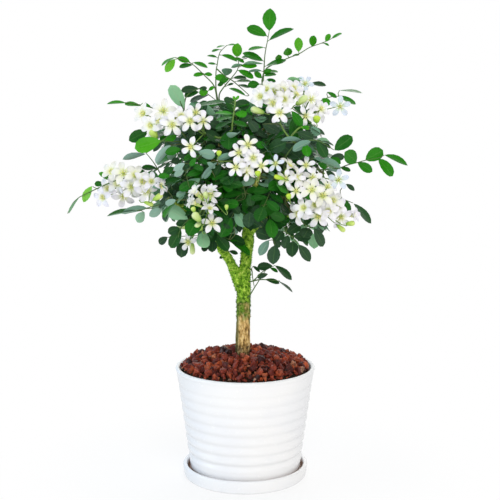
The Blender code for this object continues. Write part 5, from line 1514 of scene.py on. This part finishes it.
# %% Trunk and limbs as one grown surface
WOOD_VOXEL = 1.0
MELT_LOSS = 0.7
MOSS_PATCHES = (9.0, 4.0, 0.6)
MOSS_WANDER = 0.11
FURROW_NOISE = {"Scale": 330.0, "Detail": 3.0, "Roughness": 0.6}
KNOB_NOISE = {"Scale": 90.0, "Detail": 2.0}
wood_tree, given = new_tree("grown_wood", Voxel="Float", Knobs="Float", Furrows="Float")
voxel = given["Voxel"]
inputs = {0: swept(given["Geometry"], 20), "Voxel Size": voxel, "Interior Band Width": 0.004}
cloud = put(wood_tree, "GeometryNodeMeshToVolume", inputs, resolution_mode="VOXEL_SIZE")
inputs = {0: cloud, "Voxel Size": voxel, "Threshold": 0.1}
skin = put(wood_tree, "GeometryNodeVolumeToMesh", inputs, resolution_mode="VOXEL_SIZE")
place = put(wood_tree, "GeometryNodeInputPosition")
inputs = {"Value": place, "Iterations": 3}
smoother = put(wood_tree, "GeometryNodeBlurAttribute", inputs, data_type="FLOAT_VECTOR")
melted = put(wood_tree, "GeometryNodeSetPosition", {0: skin, "Position": smoother})
long_way = put(wood_tree, "ShaderNodeVectorMath", {0: place, 1: (1.0, 1.0, 0.32)}, operation="MULTIPLY")
furrow = put(wood_tree, "ShaderNodeTexNoise", {"Vector": long_way, **FURROW_NOISE})
knob = put(wood_tree, "ShaderNodeTexNoise", {"Vector": place, **KNOB_NOISE})
depth = uneven(furrow) * given["Furrows"] + (knob - 0.45) * given["Knobs"]
shift = scaled(put(wood_tree, "GeometryNodeInputNormal"), depth)
rough = put(wood_tree, "GeometryNodeSetPosition", {0: melted, "Offset": shift})
end_tree(put(wood_tree, "GeometryNodeSetShadeSmooth", {0: rough}), given["Finish"])

bark, tree, shader, where = new_finish("mossy_bark", Specular_IOR_Level=0.3)
across, back, high = axes(where)
patch = grain(where, *MOSS_PATCHES)
fibre = grain(where, 1.4, 4.0, 0.65, (1.0, 1.0, 0.3))
speck = grain(where, 1.9, 4.0, 0.72)
blotch = ramp(grain(where, 4.5, 3.0, 0.6), 0.36, 0.60)
cork = tones(
    fibre,
    (0.36, (0.09, 0.05, 0.014)),
    (0.45, (0.50, 0.30, 0.09)),
    (0.55, (0.86, 0.60, 0.24)),
    (0.68, (1.0, 0.84, 0.46)),
)
knots = ramp(grain(where, 2.4, 3.0, 0.65), 0.54, 0.66, 0.0, 0.75)
cork = mixed(tree, knots * ramp(high, 0.152, 0.178, 1.0, 0.35), cork, (0.12, 0.065, 0.02))
wander = uneven(patch, MOSS_WANDER)
mossy_height = high + wander
moss = tones(
    speck,
    (0.36, (0.03, 0.08, 0.006)),
    (0.45, (0.14, 0.32, 0.014)),
    (0.52, (0.32, 0.60, 0.035)),
    (0.64, (0.68, 0.84, 0.15)),
)
moss = mixed(tree, blotch, mixed(tree, 0.3, moss, (0.03, 0.09, 0.008)), moss)
# Painted shade: the lowest moss, below about 19 to 22 cm, is darker
moss = mixed(tree, ramp(mossy_height, 0.192, 0.216, 0.75, 0.0), moss, (0.030, 0.075, 0.008))
bare_again = ramp(high + patch * 0.05, 0.30, 0.40, 0.0, 0.65)
cover = ramp(mossy_height, 0.174, 0.198).math("SUBTRACT", bare_again, True)
# Painted shade: the trunk's left side turns dark olive, fading out between 19 and 24 cm up
shaded_left_side = ramp(across + wander * 0.08, -9.4 * MM, -6.2 * MM, 0.85, 0.0)
cork = mixed(tree, shaded_left_side * ramp(high, 0.19, 0.24, 1.0, 0.0), cork, (0.085, 0.10, 0.022))
# The trunk turns dark brown at its foot, just over the stones, below about 14 to 16 cm
dark_foot = ramp(high + uneven(speck, 0.05), 0.140, 0.160, 0.9, 0.0)
colour = mixed(tree, dark_foot, mixed(tree, cover, cork, moss), (0.035, 0.020, 0.010))
dress(shader, colour, ramp(fibre, 0.3, 0.7, 0.75, 0.95), fibre + speck, 0.7)


def lines_piece(name, lines):
    """Object of lines, each of them (points, radii, age)."""
    vertices, edges, thick, ages = [], [], [], []
    for points, radii, age in lines:
        edges += [(i, i + 1) for i in range(len(vertices), len(vertices) + len(points) - 1)]
        vertices += points
        thick += [radius * MM for radius in radii]
        ages += [age] * len(points)
    piece = new_piece(name, vertices, edges)
    carry(piece, "thick", thick)
    carry(piece, "age", ages)
    return piece


limbs = []
for path in limb_paths(6.0):
    points, radii = zip(*path)
    limbs.append((points, [radius + MELT_LOSS for radius in radii], 0.0))
wood = lines_piece("mossy_trunk", limbs)
grown(wood, wood_tree, Voxel=WOOD_VOXEL * MM, Knobs=2.2 * MM, Furrows=1.5 * MM, Finish=bark)
settle(wood, "mossy_bark", "trunk")

# %% [markdown]
# The moss stands proud of the bark as short tufts, which roughen the trunk's edge against the sky. A
# tuft is a tiny three-sided spike, strewn thickly over the wood from the mossy height up to the crown.

# %% Moss tufts
tuft = bpy.data.objects.new("moss_tuft", bpy.data.meshes.new("moss_tuft"))
feet = [(math.cos(a), math.sin(a), 0) for a in (0, 2 * math.pi / 3, 4 * math.pi / 3)]
tuft.data.from_pydata([*feet, (0.25, 0.1, 3.2)], [], [(0, 1, 3), (1, 2, 3), (2, 0, 3), (2, 1, 0)])
sizes = dict.fromkeys(("Density", "Size", "Lowest", "Highest"), "Float")
tufts, given = new_tree("moss_tufts", Tuft="Object", Seed="Int", **sizes)
seed, lowest, highest = given["Seed"], given["Lowest"], given["Highest"]
place = put(tufts, "GeometryNodeInputPosition")
# The same patches as in the bark's finish, so that tufts stand where the bark is green
level = axes(place)[2] + uneven(grain(place, *MOSS_PATCHES), MOSS_WANDER)
thickly = ramp(level, lowest - 0.02, lowest + 0.02) * ramp(level, highest, highest + 0.05, 1.0, 0.0)
inputs = {0: given["Geometry"], "Density": thickly * given["Density"], "Seed": seed}
spots = put(tufts, "GeometryNodeDistributePointsOnFaces", inputs)
leaning = rotation(drawn(seed, (-0.7, -0.7, 0.0), (0.7, 0.7, 6.28), "FLOAT_VECTOR"))
inputs = {0: spots.beside("Rotation"), 1: leaning}
turn = put(tufts, "FunctionNodeRotateRotation", inputs, rotation_space="LOCAL")
one_tuft = put(tufts, "GeometryNodeObjectInfo", {0: given["Tuft"]}, out="Geometry")
end_tree(set_on(spots, one_tuft, turn, drawn(seed, 0.5, 1.3) * given["Size"]), given["Finish"])

moss_green, tree, shader, where = new_finish("moss_green", Specular_IOR_Level=0.1)
lively = grain(where, 2.4, 4.0, 0.65)
fine = grain(where, 0.6, 2.0)
green = tones(
    lively,
    (0.36, (0.03, 0.10, 0.008)),
    (0.46, (0.15, 0.37, 0.02)),
    (0.55, (0.31, 0.61, 0.045)),
    (0.68, (0.57, 0.82, 0.15)),
)
# Painted shade: the tufts are darker low down, below about 20 to 23 cm, like the moss on the bark
green = mixed(tree, ramp(axes(where)[2], 0.200, 0.234, 0.9, 0.0), green, (0.035, 0.085, 0.008))
dress(shader, green, ramp(fine, 0.3, 0.7, 0.8, 0.95), fine, 0.2)
moss_piece = new_piece("moss", [])
moss_piece.data = wood.data.copy()
values = {"Density": 420000.0, "Size": 0.42 * MM, "Lowest": 0.196, "Highest": 0.315, "Seed": 3}
grown(moss_piece, tufts, Tuft=tuft, Finish=moss_green, **values)
settle(moss_piece, "mossy_bark")

# %% [markdown]
# ## Twigs, leaf stems and flower stalks
# Everything thin is a line with a thickness at each point, and one tree sweeps a ring along such
# lines. A twig starts inside the wood, so that no gap shows, and thins out towards its tip.


# %% Stems
def tapered(points, thick, thin, age=0.0, step=4.0):
    """Smooth line through points, with radii from thick to thin, and how green it is."""
    line = smooth_path(points, step)
    radii = [thick + (thin - thick) * i / (len(line) - 1) for i in range(len(line))]
    return line, radii, age


stem_tree, given = new_tree("swept_stems", Sides="Int")
round_stems = put(stem_tree, "GeometryNodeSetShadeSmooth", {0: swept(given["Geometry"], given["Sides"])})
end_tree(round_stems, given["Finish"])

stem_green, tree, shader, where = new_finish("stem_green", Specular_IOR_Level=0.4)
streak = grain(where, 1.5, 3.0, 0.6, (1.0, 1.0, 0.5))
age = facts(tree, "age")
fresh = tones(
    age,
    (0.0, (0.24, 0.19, 0.085)),
    (0.3, (0.13, 0.17, 0.05)),
    (0.6, (0.085, 0.19, 0.045)),
    (1.0, (0.27, 0.46, 0.08)),
)
colour = mixed(tree, ramp(streak, 0.3, 0.75, 0.0, 0.5), fresh, (0.07, 0.09, 0.025))
dress(shader, colour, ramp(streak, 0.3, 0.7, 0.45, 0.65), streak, 0.15)

FOOT_IN_WOOD = 2.2


def into_wood(path):
    """A twig's points with its first one moved back into the wood."""
    return [path[0] - (path[1] - path[0]).normalized() * FOOT_IN_WOOD, *path[1:]]


woody = [tapered(into_wood(path), thick, 0.55 * thick, 0.15) for path, thick in twigs]
woody += [tapered(into_wood(c["stalk"]), 1.2, 0.9, 0.45) for c in clusters if c["stalk"]]
twig_piece = grown(lines_piece("twigs", woody), stem_tree, Sides=7, Finish=stem_green)
settle(twig_piece, "leaf_green")

leaf_stems = []
for leaf in leaves:
    stations = [leaf.station(share)[0] for share in (0.0, 0.2, 0.4, 0.6, 0.8, 1.0)]
    slim = 0.35 + 0.012 * leaf.length
    leaf_stems.append(tapered(stations, slim, slim * 0.6, 0.3 + 0.6 * leaf.age, 8.0))


# Places on the wood and twigs, to which the seen stems and leaflets are led
FORK_REACH = 2.5
STRETCH_POINTS = 12
SEATS_WEIGHED = 400
SEAT_ABOVE = 4
wood_points = []
for path in paths:
    for (a, thick_a), (b, thick_b) in zip(path, path[1:]):
        wood_points += [a.lerp(b, k / STRETCH_POINTS) for k in range(STRETCH_POINTS)]
wood_points += [point for line, radii, age in woody for point in line]
carriers = search_tree(wood_points)
stem_points = []
for line, young in seen_stems:
    foot, whole = line[0], line
    # A stem whose foot is on an earlier one forks from it, and any other is led back to the wood
    if not any((foot - point).length < FORK_REACH for point in stem_points):
        seat = carriers.find(foot)[0]
        way = (line[1] - line[0]).normalized()
        bend = foot - way * 0.4 * (foot - seat).length
        whole = [seat, seat.lerp(bend, 0.6), foot, *line[1:]]
    leaf_stems.append(tapered(whole, *((1.15, 0.8, 0.8) if young else (0.9, 0.4, 0.55)), 3.0))
    stem_points += line
carriers = search_tree(stem_points + wood_points)


def seat_for(base):
    """Where the stem of a leaflet starts: near, and below or beside it rather than above."""
    near = [point for point, i, apart in carriers.find_n(base, SEATS_WEIGHED)]
    return min(near, key=lambda point: (point - base).length + SEAT_ABOVE * max(0.0, point.z - base.z))


for (base, along_way, *unused), age in seen_leaflets:
    seat = seat_for(base)
    reach = (base - seat).length
    if reach < 1.0:
        continue
    middle = seat.lerp(base, 0.5) - along_way * 0.16 * reach - UP * 0.06 * reach
    leaf_stems.append(tapered([seat, middle, base + along_way * 0.6], 0.55, 0.4, 0.3 + 0.6 * age, 5.0))
stem_piece = grown(lines_piece("leaf_stems", leaf_stems), stem_tree, Sides=5, Finish=stem_green)
settle(stem_piece, "leaf_green")

# %% [markdown]
# ## Leaflets
# An orange jasmine's leaflet is a small leathery blade, widest past its middle, with a blunt tip, a
# pale midrib and a glossy upper face over a duller, paler underside, on some leaves a pale bluish
# grey as painted sheen. Four blades that differ in fold and curl are enough: a tree sets one of them
# on every leaflet's place, turned and sized as the layout says. Each blade is a thin closed shell,
# so that it has a real edge and two faces.

# %% Blades
BLADE_ROWS = (0.0, 0.14, 0.34, 0.55, 0.74, 0.90, 1.0)
BLADE_COLUMNS = (-1, -0.5, 0, 0.5, 1)
LEAF_THICKNESS = 0.05
PETAL_THICKNESS = 0.10
SHARP_EDGE = 60


def blade_shape(name, outline, height, thickness):
    """Thin closed blade along +X, one unit long and about one unit to each side, facing +Z.

    The map "blade" gives the share of its length and of its width, and the underside's lies further on.
    """
    build = bmesh.new()
    layout = build.loops.layers.uv.new("blade")
    made = {}

    def corner(share, across, under):
        end = share in (BLADE_ROWS[0], BLADE_ROWS[-1])
        key = (share, 0 if end else across, under and not end and abs(across) < 1)
        if key not in made:
            z = height(share, key[1]) - (thickness if key[2] else 0.0)
            made[key] = build.verts.new((share, key[1] * outline(share), z))
        return made[key], (share + UNDERSIDE * under, (across + 1) / 2)

    for under in (False, True):
        for low, high in zip(BLADE_ROWS, BLADE_ROWS[1:]):
            for left, right in zip(BLADE_COLUMNS, BLADE_COLUMNS[1:]):
                # A blade's ends are points, where two corners of a face fall together
                ring = {}
                for share, across in ((low, left), (high, left), (high, right), (low, right)):
                    ring.setdefault(*corner(share, across, under))
                ring = list(ring.items())
                if under:
                    ring = [ring[0], *ring[:0:-1]]
                face = build.faces.new([vertex for vertex, spot in ring])
                for loop, (vertex, spot) in zip(face.loops, ring):
                    loop[layout].uv = spot
    return shape_of(build, name, SHARP_EDGE)


def blade_outline(swell, taper):
    """Half width of a blade by the share of its length, 1 at its widest."""
    peak = swell / (swell + taper)
    most = peak**swell * (1 - peak) ** taper
    return lambda share: share**swell * (1 - share) ** taper / most


def leaflet_shape(number, fold, curl, wave, swell, taper):
    """Blade with a folded midrib, a backward curl and a wavy edge."""
    outline = blade_outline(swell, taper)

    def height(t, v):
        return fold * abs(v) ** 1.3 * outline(t) - curl * t**2.2 + wave * v * math.sin(6.5 * t)

    return blade_shape(f"leaflet_{number}", outline, height, LEAF_THICKNESS)


LEAF_KINDS = (
    (0.24, 0.30, 0.03, 0.80, 0.56),
    (0.34, 0.10, 0.0, 0.95, 0.80),
    (0.14, 0.55, 0.06, 0.80, 0.50),
    (0.22, 0.22, -0.07, 0.88, 0.70),
)
blades = gathered("leaflet_shapes", [leaflet_shape(i, *kind) for i, kind in enumerate(LEAF_KINDS)])

scatter_tree, given = new_tree("set_on_places", Shapes="Collection")
kind = carried(scatter_tree, "kind", "INT")
turn = rotation(carried(scatter_tree, "turn", "FLOAT_VECTOR"))
size = carried(scatter_tree, "size", "FLOAT_VECTOR")
end_tree(set_on(given["Geometry"], given["Shapes"], turn, size, kind), given["Finish"])


def turn_of(x_way, z_way):
    """Euler angles of a frame with these X and Z directions."""
    z_way = (z_way - x_way * z_way.dot(x_way)).normalized()
    return Matrix((x_way, z_way.cross(x_way), z_way)).transposed().to_euler()


def set_pieces(name, places, shapes, finish):
    """Piece with a shape on each place: (point, turn, size, kind, age, tone)."""
    points, turns, sizes, kinds, ages, casts = zip(*places)
    piece = new_piece(name, points)
    carry(piece, "turn", turns, "FLOAT_VECTOR")
    carry(piece, "size", [Vector(size) * MM for size in sizes], "FLOAT_VECTOR")
    carry(piece, "kind", kinds, "INT")
    carry(piece, "age", ages)
    carry(piece, "tone", casts)
    return grown(piece, scatter_tree, Shapes=shapes, Finish=finish)


# %% Leaf finish and leaflets
leaf_gloss, tree, shader, where = new_finish("leaf_green", IOR=1.45, Specular_IOR_Level=0.33)
under, along, width = blade_map(tree)
across = uneven(width).math("ABSOLUTE") * 2.0
midrib = ramp(across, 0.02, 0.10, 1.0, 0.0)
side_veins = (along * 9.0 - across * 2.6).math("FRACT")
vein = ramp(uneven(side_veins).math("ABSOLUTE"), 0.0, 0.16, 1.0, 0.0)
mottle = grain(where, 6.0, 3.0)
fine = grain(where, 0.7, 2.0)
age = facts(tree, "age") + uneven(facts(tree, "tone"), 0.22)
upper = tones(
    age + uneven(mottle, 0.12),
    (0.0, (0.032, 0.076, 0.038)),
    (0.13, (0.017, 0.060, 0.019)),
    (0.26, (0.009, 0.086, 0.007)),
    (0.46, (0.015, 0.172, 0.003)),
    (0.62, (0.030, 0.268, 0.002)),
    (0.76, (0.100, 0.410, 0.015)),
    (1.0, (0.32, 0.70, 0.10)),
)
# The underside is paler, and on leaves of a high tone a pale bluish grey that is painted sheen
lower = mixed(tree, ramp(facts(tree, "tone"), 0.35, 0.7), (0.15, 0.29, 0.22), (0.36, 0.54, 0.48))
lower = mixed(tree, age, lower, (0.27, 0.62, 0.24))
veined = mixed(tree, vein * 0.07, upper, (0.08, 0.30, 0.03))
veined = mixed(tree, midrib * 0.14, veined, (0.20, 0.42, 0.10))
colour = mixed(tree, under, veined, mixed(tree, midrib * 0.5, lower, (0.34, 0.50, 0.30)))
gloss = ramp(mottle, 0.3, 0.7, 0.22, 0.38) + under * 0.25
height = midrib + vein * 0.35 + fine * 0.05
dress(shader, colour, gloss, height, 0.2, 0.6)

TURNED_SHARE = 0.08
NONE_TURNED_RIGHT_OF, NONE_TURNED_BELOW = 262, 200
BEHIND_TRUNK = 8
draw = random.Random(52)
groups = {"leaflets": [], "more_leaflets": []}


def set_leaflet(group, leaflet, age, tone):
    """Put a leaflet's place in a group, with small differences in size, fold and shape."""
    base, along_way, forwards, normal, length, half_width = leaflet
    size = [length * draw.uniform(0.97, 1.03)]
    size += [half_width * draw.uniform(*bounds) for bounds in ((0.98, 1.06), (0.6, 1.3))]
    group.append((base, turn_of(along_way.normalized(), normal), size, draw.randrange(4), age, tone))


for leaflet, age in seen_leaflets:
    set_leaflet(groups["leaflets"], leaflet, age, draw.uniform(0.3, 0.7))
for number, leaf in enumerate(leaves):
    group = groups["leaflets" if number < solid_count else "more_leaflets"]
    leaf_tone = draw.random()
    for leaflet in leaf.leaflet_frames():
        base, along_way, forwards, normal, length, half_width = leaflet
        x, y = to_photo(base + along_way * 0.7 * length)
        in_window = TRUNK_WINDOW[0] < x < TRUNK_WINDOW[1] and TRUNK_WINDOW[2] < y < TRUNK_WINDOW[3]
        if in_window and base.y < BEHIND_TRUNK or not within_edge(base + along_way * NEAR_TIP * length):
            continue
        if base.y < 0 and hides_flower(base + along_way * 0.6 * length):
            continue
        if draw.random() < TURNED_SHARE and (x < NONE_TURNED_RIGHT_OF or y < NONE_TURNED_BELOW):
            leaflet = (base, along_way, -forwards, -normal, length, half_width)
        set_leaflet(group, leaflet, leaf.age, 0.6 * leaf_tone + 0.4 * draw.random())
shoot_nodes = [name for name in frame["nodes"] if name.startswith("leafy_shoot")]
settle(set_pieces("leaflets", groups["leaflets"], blades, leaf_gloss), "leaf_green", *shoot_nodes)
settle(set_pieces("more_leaflets", groups["more_leaflets"], blades, leaf_gloss), "leaf_green")

# %% [markdown]
# ## Flowers
# A flower is a short green-white tube that opens into five strap-shaped petals, which curl back at
# their tips, round a tuft of pale stamens with yellow heads. Five kinds, from wide open to nearly
# closed, are set on the places of the stars, each in four passes: petals, stamens, calyx, stalk.

# %% Petals, hearts and calyces as shapes
PETAL_START = 1.1
TUBE_DEPTH = 6.0
CALYX_DEPTH = 1.8


def petal_outline(share):
    """Half width of a petal by the share of its length."""
    swell = math.sin(math.pi * min(share * 0.76, 1.0)) ** 1.3
    return (0.36 + 0.66 * swell) * (1 - share**6) ** 0.55


def joined(name, shapes, sharp=None):
    """One shape from several, with their maps kept."""
    build = bmesh.new()
    for shape in shapes:
        build.from_mesh(shape.data)
        bpy.data.objects.remove(shape)
    return shape_of(build, name, sharp)


def rings_shape(name, rings, sides, share=None, pole=None):
    """Closed turned shape from (radius, z) rings; with a pole's height it ends in a point there.

    The whole of it has the same share on the map, or without one the share is its height.
    """
    build = bmesh.new()
    layout = build.loops.layers.uv.new("blade")
    spokes = [2 * math.pi * k / sides for k in range(sides)]
    rows = [[build.verts.new((r * math.cos(a), r * math.sin(a), z)) for a in spokes] for r, z in rings]
    faces = [build.faces.new(rows[0][::-1])]
    if pole is None:
        faces.append(build.faces.new(rows[-1]))
    beside = [(k, (k + 1) % sides) for k in range(sides)]
    for low, high in zip(rows, rows[1:]):
        faces += [build.faces.new((low[k], low[after], high[after], high[k])) for k, after in beside]
    if pole is not None:
        top = build.verts.new((0, 0, pole))
        faces += [build.faces.new((rows[-1][k], rows[-1][after], top)) for k, after in beside]
    for face in faces:
        face.smooth = True
        for loop in face.loops:
            loop[layout].uv = (loop.vert.co.z if share is None else share, 0.5)
    return shape_of(build, name)


# How petals lie in each kind of flower, in mm: straight reach, flare, rise, backward curl, half width
FLOWER_KINDS = (
    (10.2, 0.0, 3.2, 4.2, 2.7),
    (10.4, 0.0, 4.4, 3.6, 2.9),
    (9.8, 1.4, 4.8, 5.0, 3.15),
    (7.2, 3.2, 8.0, 5.8, 3.25),
    (2.6, 5.2, 12.5, 5.0, 2.8),
)
STAMENS = 9
TUBE_RINGS = ((1.0, -TUBE_DEPTH), (1.15, -3.0), (1.7, -0.4), (1.75, 0.3), (1.1, 0.1))
HEAD_RINGS = ((0.16, -0.7), (0.42, -0.2), (0.40, 0.35), (0.12, 0.75))
HAIR_RINGS = ((0.14, 0.0), (0.12, 1.0))
STIGMA_RINGS = ((0.25, 0.0), (0.28, 1.9), (0.62, 2.3), (0.66, 2.8), (0.30, 3.2))
CUP_RINGS = ((0.5, -2.0), (1.05, -0.9), (1.35, 0.9), (1.0, 1.0))
BUD_RINGS = ((0.30, 0.0), (0.62, 0.12), (0.80, 0.30), (0.95, 0.52), (1.0, 0.72), (0.78, 0.90), (0.34, 0.985))


def petal_cup(t, v):
    """How far a petal's edges rise over its middle, which has a shallow groove."""
    return 0.20 * abs(v) ** 1.4 - 0.05 * (abs(v) < 0.1)


def petal_shape(number, petal, straight, flare, rise, curl, half_width):
    """One petal of a flower, bent and twisted a little by chance."""
    rise, curl = rise + draw.uniform(-0.5, 0.5), curl + draw.uniform(-0.6, 0.8)
    shape = blade_shape(f"petal_{number}_{petal}", petal_outline, petal_cup, PETAL_THICKNESS)
    lean = Matrix.Rotation(2 * math.pi / 5 * petal + draw.uniform(-0.06, 0.06), 3, "Z")
    twist = draw.uniform(-0.14, 0.14)
    for vertex in shape.data.vertices:
        t, v, z = vertex.co
        radial = PETAL_START + straight * t + flare * t**3
        lift = rise * t**0.8 - curl * t**2.6
        vertex.co = lean @ Vector((radial, half_width * v, lift + half_width * (z + twist * v * t)))
    return shape


def stamen_shapes(k):
    """The head and the hair of one stamen."""
    angle, reach = 2 * math.pi * k / STAMENS + draw.uniform(-0.2, 0.2), draw.uniform(1.2, 2.5)
    spot = Vector((reach * math.cos(angle), reach * math.sin(angle), draw.uniform(1.6, 3.2)))
    head = rings_shape("head", HEAD_RINGS, 5, 0.9)
    head.data.transform(Matrix.Translation(spot) @ Matrix.Rotation(draw.uniform(-0.9, 0.9), 4, "X"))
    hair = rings_shape("hair", HAIR_RINGS, 3, 0.1)
    for vertex in hair.data.vertices:
        x, y, share = vertex.co
        vertex.co = Vector((x, y, 0)) + spot * (0.3 + 0.7 * share) - UP * (0.4 * share)
    return [head, hair]


draw = random.Random(8)
flowers, hearts, calyces = [], [], []
for number, kind in enumerate(FLOWER_KINDS):
    petals = [petal_shape(number, petal, *kind) for petal in range(5)]
    tube = rings_shape("tube", TUBE_RINGS, 10, -0.3)
    flowers.append(joined(f"flower_{number}", [*petals, tube], SHARP_EDGE))
    stamens = [shape for k in range(STAMENS) for shape in stamen_shapes(k)]
    hearts.append(joined(f"heart_{number}", [*stamens, rings_shape("stigma", STIGMA_RINGS, 6, 0.5)]))
    cup = [(radius, z - TUBE_DEPTH) for radius, z in CUP_RINGS]
    calyces.append(rings_shape(f"calyx_{number}", cup, 8, 0.4))
flower_shapes = gathered("flower_shapes", flowers)
heart_shapes = gathered("heart_shapes", hearts)
calyx_shapes = gathered("calyx_shapes", calyces)
bud_shapes = gathered("bud_shapes", [rings_shape("bud", BUD_RINGS, 10, pole=1.0)])
print(len(flowers), "kinds of flower and one bud")

# %% Petal, pollen and bud finishes
petal_white, tree, shader, where = new_finish(
    "petal_white",
    Subsurface_Weight=0.12,
    Subsurface_Radius=(0.004, 0.004, 0.003),
    Subsurface_Scale=0.4,
    Specular_IOR_Level=0.35,
)
under, along, width = blade_map(tree)
soft = grain(where, 3.0, 2.0)
white = tones(
    ramp(along, -0.3, 1.0) + uneven(soft, 0.05),
    (0.0, (0.50, 0.64, 0.20)),
    (0.20, (0.64, 0.74, 0.30)),
    (0.36, (0.84, 0.88, 0.62)),
    (0.58, (0.88, 0.88, 0.86)),
    (1.0, (0.87, 0.86, 0.91)),
)
# Each flower's tone tints its petals from a bluish white, which is painted shade, to a creamy white
bluish_shade_to_cream = tones(
    facts(tree, "tone"),
    (0.0, (0.80, 0.90, 1.0)),
    (0.25, (0.97, 0.95, 1.0)),
    (0.7, (1.0, 1.0, 0.99)),
    (1.0, (1.0, 1.0, 0.87)),
)
white = mixed(tree, 1.0, white, bluish_shade_to_cream, "MULTIPLY")
lines = (width * 44.0).math("SINE") * 0.3 + soft
dress(shader, white, ramp(soft, 0.3, 0.7, 0.42, 0.58), lines, 0.18, 0.6)

pollen, tree, shader, where = new_finish("pollen_yellow", Specular_IOR_Level=0.3)
share = blade_map(tree)[1]
dust = grain(where, 0.4, 3.0)
powder = tones(share, (0.1, (0.90, 0.92, 0.80)), (0.5, (0.80, 0.86, 0.16)), (0.9, (0.90, 0.82, 0.28)))
powder = mixed(tree, ramp(dust, 0.5, 0.8, 0.0, 0.5), powder, (0.93, 0.90, 0.50))
dress(shader, powder, ramp(dust, 0.3, 0.7, 0.6, 0.9), dust, 0.1)

bud_skin, tree, shader, where = new_finish(
    "bud_skin", Subsurface_Weight=0.1, Subsurface_Radius=(0.003, 0.004, 0.001), Subsurface_Scale=0.3
)
share = blade_map(tree)[1]
soft = grain(where, 2.0, 2.0)
long_bud = tones(
    share + uneven(soft, 0.25),
    (0.0, (0.22, 0.42, 0.05)),
    (0.3, (0.45, 0.60, 0.16)),
    (0.7, (0.62, 0.74, 0.32)),
    (1.0, (0.74, 0.82, 0.46)),
)
lime = mixed(tree, share, (0.26, 0.52, 0.03), (0.62, 0.78, 0.07))
colour = mixed(tree, facts(tree, "age"), long_bud, lime)
dress(shader, colour, ramp(soft, 0.3, 0.7, 0.35, 0.5), soft, 0.2)

calyx_green, tree, shader, where = new_finish("calyx_green", Specular_IOR_Level=0.4)
soft = grain(where, 1.2, 3.0)
colour = mixed(tree, soft, (0.13, 0.30, 0.03), (0.28, 0.46, 0.07))
dress(shader, colour, ramp(soft, 0.3, 0.7, 0.4, 0.6), soft, 0.15)

# %% Flowers on their places
EXTRA_STAR_SHARE = 0.35
SMALL_CLUSTER = 3
TO_VIEWER_BEFORE = 10
draw = random.Random(77)
flower_places, stalks, bud_places = [], [], []
for number, (cluster, group) in enumerate(zip(clusters, blooms)):
    hub, stars = cluster["hub"], cluster["stars"]
    for centre, facing, spin in spare_stars(number):
        side = facing.orthogonal().normalized()
        if centre.y < TO_VIEWER_BEFORE:
            facing = (facing + (EYE - centre).normalized() * 0.5).normalized()
        x_way = side * math.cos(spin) + facing.cross(side) * math.sin(spin)
        looks = draw.uniform(0.90, 1.02), draw.randrange(2), draw.uniform(0.35, 0.9)
        group.append((centre, facing, x_way, *looks))
    extra_count = int(len(stars) * EXTRA_STAR_SHARE) if len(stars) > SMALL_CLUSTER else 0
    for extra in range(extra_count):
        one, two = draw.sample(stars, 2)
        between = one[0].lerp(two[0], draw.uniform(0.35, 0.65))
        centre = between + (hub - between).normalized() * draw.uniform(4.0, 9.0)
        loose = Vector([draw.uniform(-0.6, 0.6) for axis in range(3)])
        facing = ((centre - hub).normalized() + loose).normalized()
        looks = draw.uniform(0.95, 1.1), draw.choice((2, 3, 3)), draw.uniform(0.45, 1.0)
        group.append((centre, facing, facing.orthogonal().normalized(), *looks))
    for centre, facing, x_way, size, kind, tone in group:
        flower_places.append((centre, turn_of(x_way, facing), (size, size, size), kind, 0.5, tone))
        foot = centre - facing * (TUBE_DEPTH + CALYX_DEPTH) * size
        stalks.append(tapered([hub, hub.lerp(foot, 0.5) - facing * 1.5, foot], 0.62, 0.48, 0.85, 3.0))
for foot_x, foot_y, tip_x, tip_y, wide, lime, *nearer in SEEN_BUDS:
    apart, number, k = nearest_star(tip_x, tip_y)
    depth = clusters[number]["stars"][k][0].y - BUD_NEARER - sum(nearer)
    foot, tip = from_photo(foot_x, foot_y, depth), from_photo(tip_x, tip_y, depth)
    length = (tip - foot).length
    radius = 0.5 * wide * length / math.dist((tip_x, tip_y), (foot_x, foot_y))
    axis = (tip - foot).normalized()
    turn = turn_of(axis.orthogonal().normalized(), axis)
    bud_places.append((foot, turn, (radius, radius, length), 0, lime, draw.random()))
    line = [clusters[number]["hub"], foot - axis * 5.0, foot + axis * 0.4]
    stalks.append(tapered(line, 0.6, 0.5, 0.85, 3.0))
print(seen_count, "flowers as seen,", len(flower_places), "in all,", len(bud_places), "buds")
cluster_nodes = [name for name in frame["nodes"] if name.startswith("flower_cluster")]
settle(set_pieces("petals", flower_places, flower_shapes, petal_white), "petal_white", *cluster_nodes)
settle(set_pieces("stamens", flower_places, heart_shapes, pollen), None)
settle(set_pieces("buds", bud_places, bud_shapes, bud_skin), "petal_white")
settle(set_pieces("calyces", flower_places, calyx_shapes, calyx_green), "leaf_green")
stalk_piece = grown(lines_piece("flower_stalks", stalks), stem_tree, Sides=5, Finish=stem_green)
settle(stalk_piece, "leaf_green")

# %% [markdown]
# ## Closing
# The shapes that the trees placed aren't pieces of their own, so they go. The finished plant lies
# inside the imported model's box, apart from a few millimetres of leaf; both boxes are kept, and how
# far the plant's box grew is printed.

# %% Clear the shapes, keep both boxes and finish
for collection in (stones, blades, flower_shapes, heart_shapes, calyx_shapes, bud_shapes):
    for shape in list(collection.objects):
        bpy.data.objects.remove(shape)
    bpy.data.collections.remove(collection)
bpy.data.objects.remove(tuft)
low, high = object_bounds()
grown_by = [[round((a - b) / MM, 1) for a, b in zip(*pair)] for pair in ((low, cad_low), (high, cad_high))]
print("box grew by", grown_by, "mm")
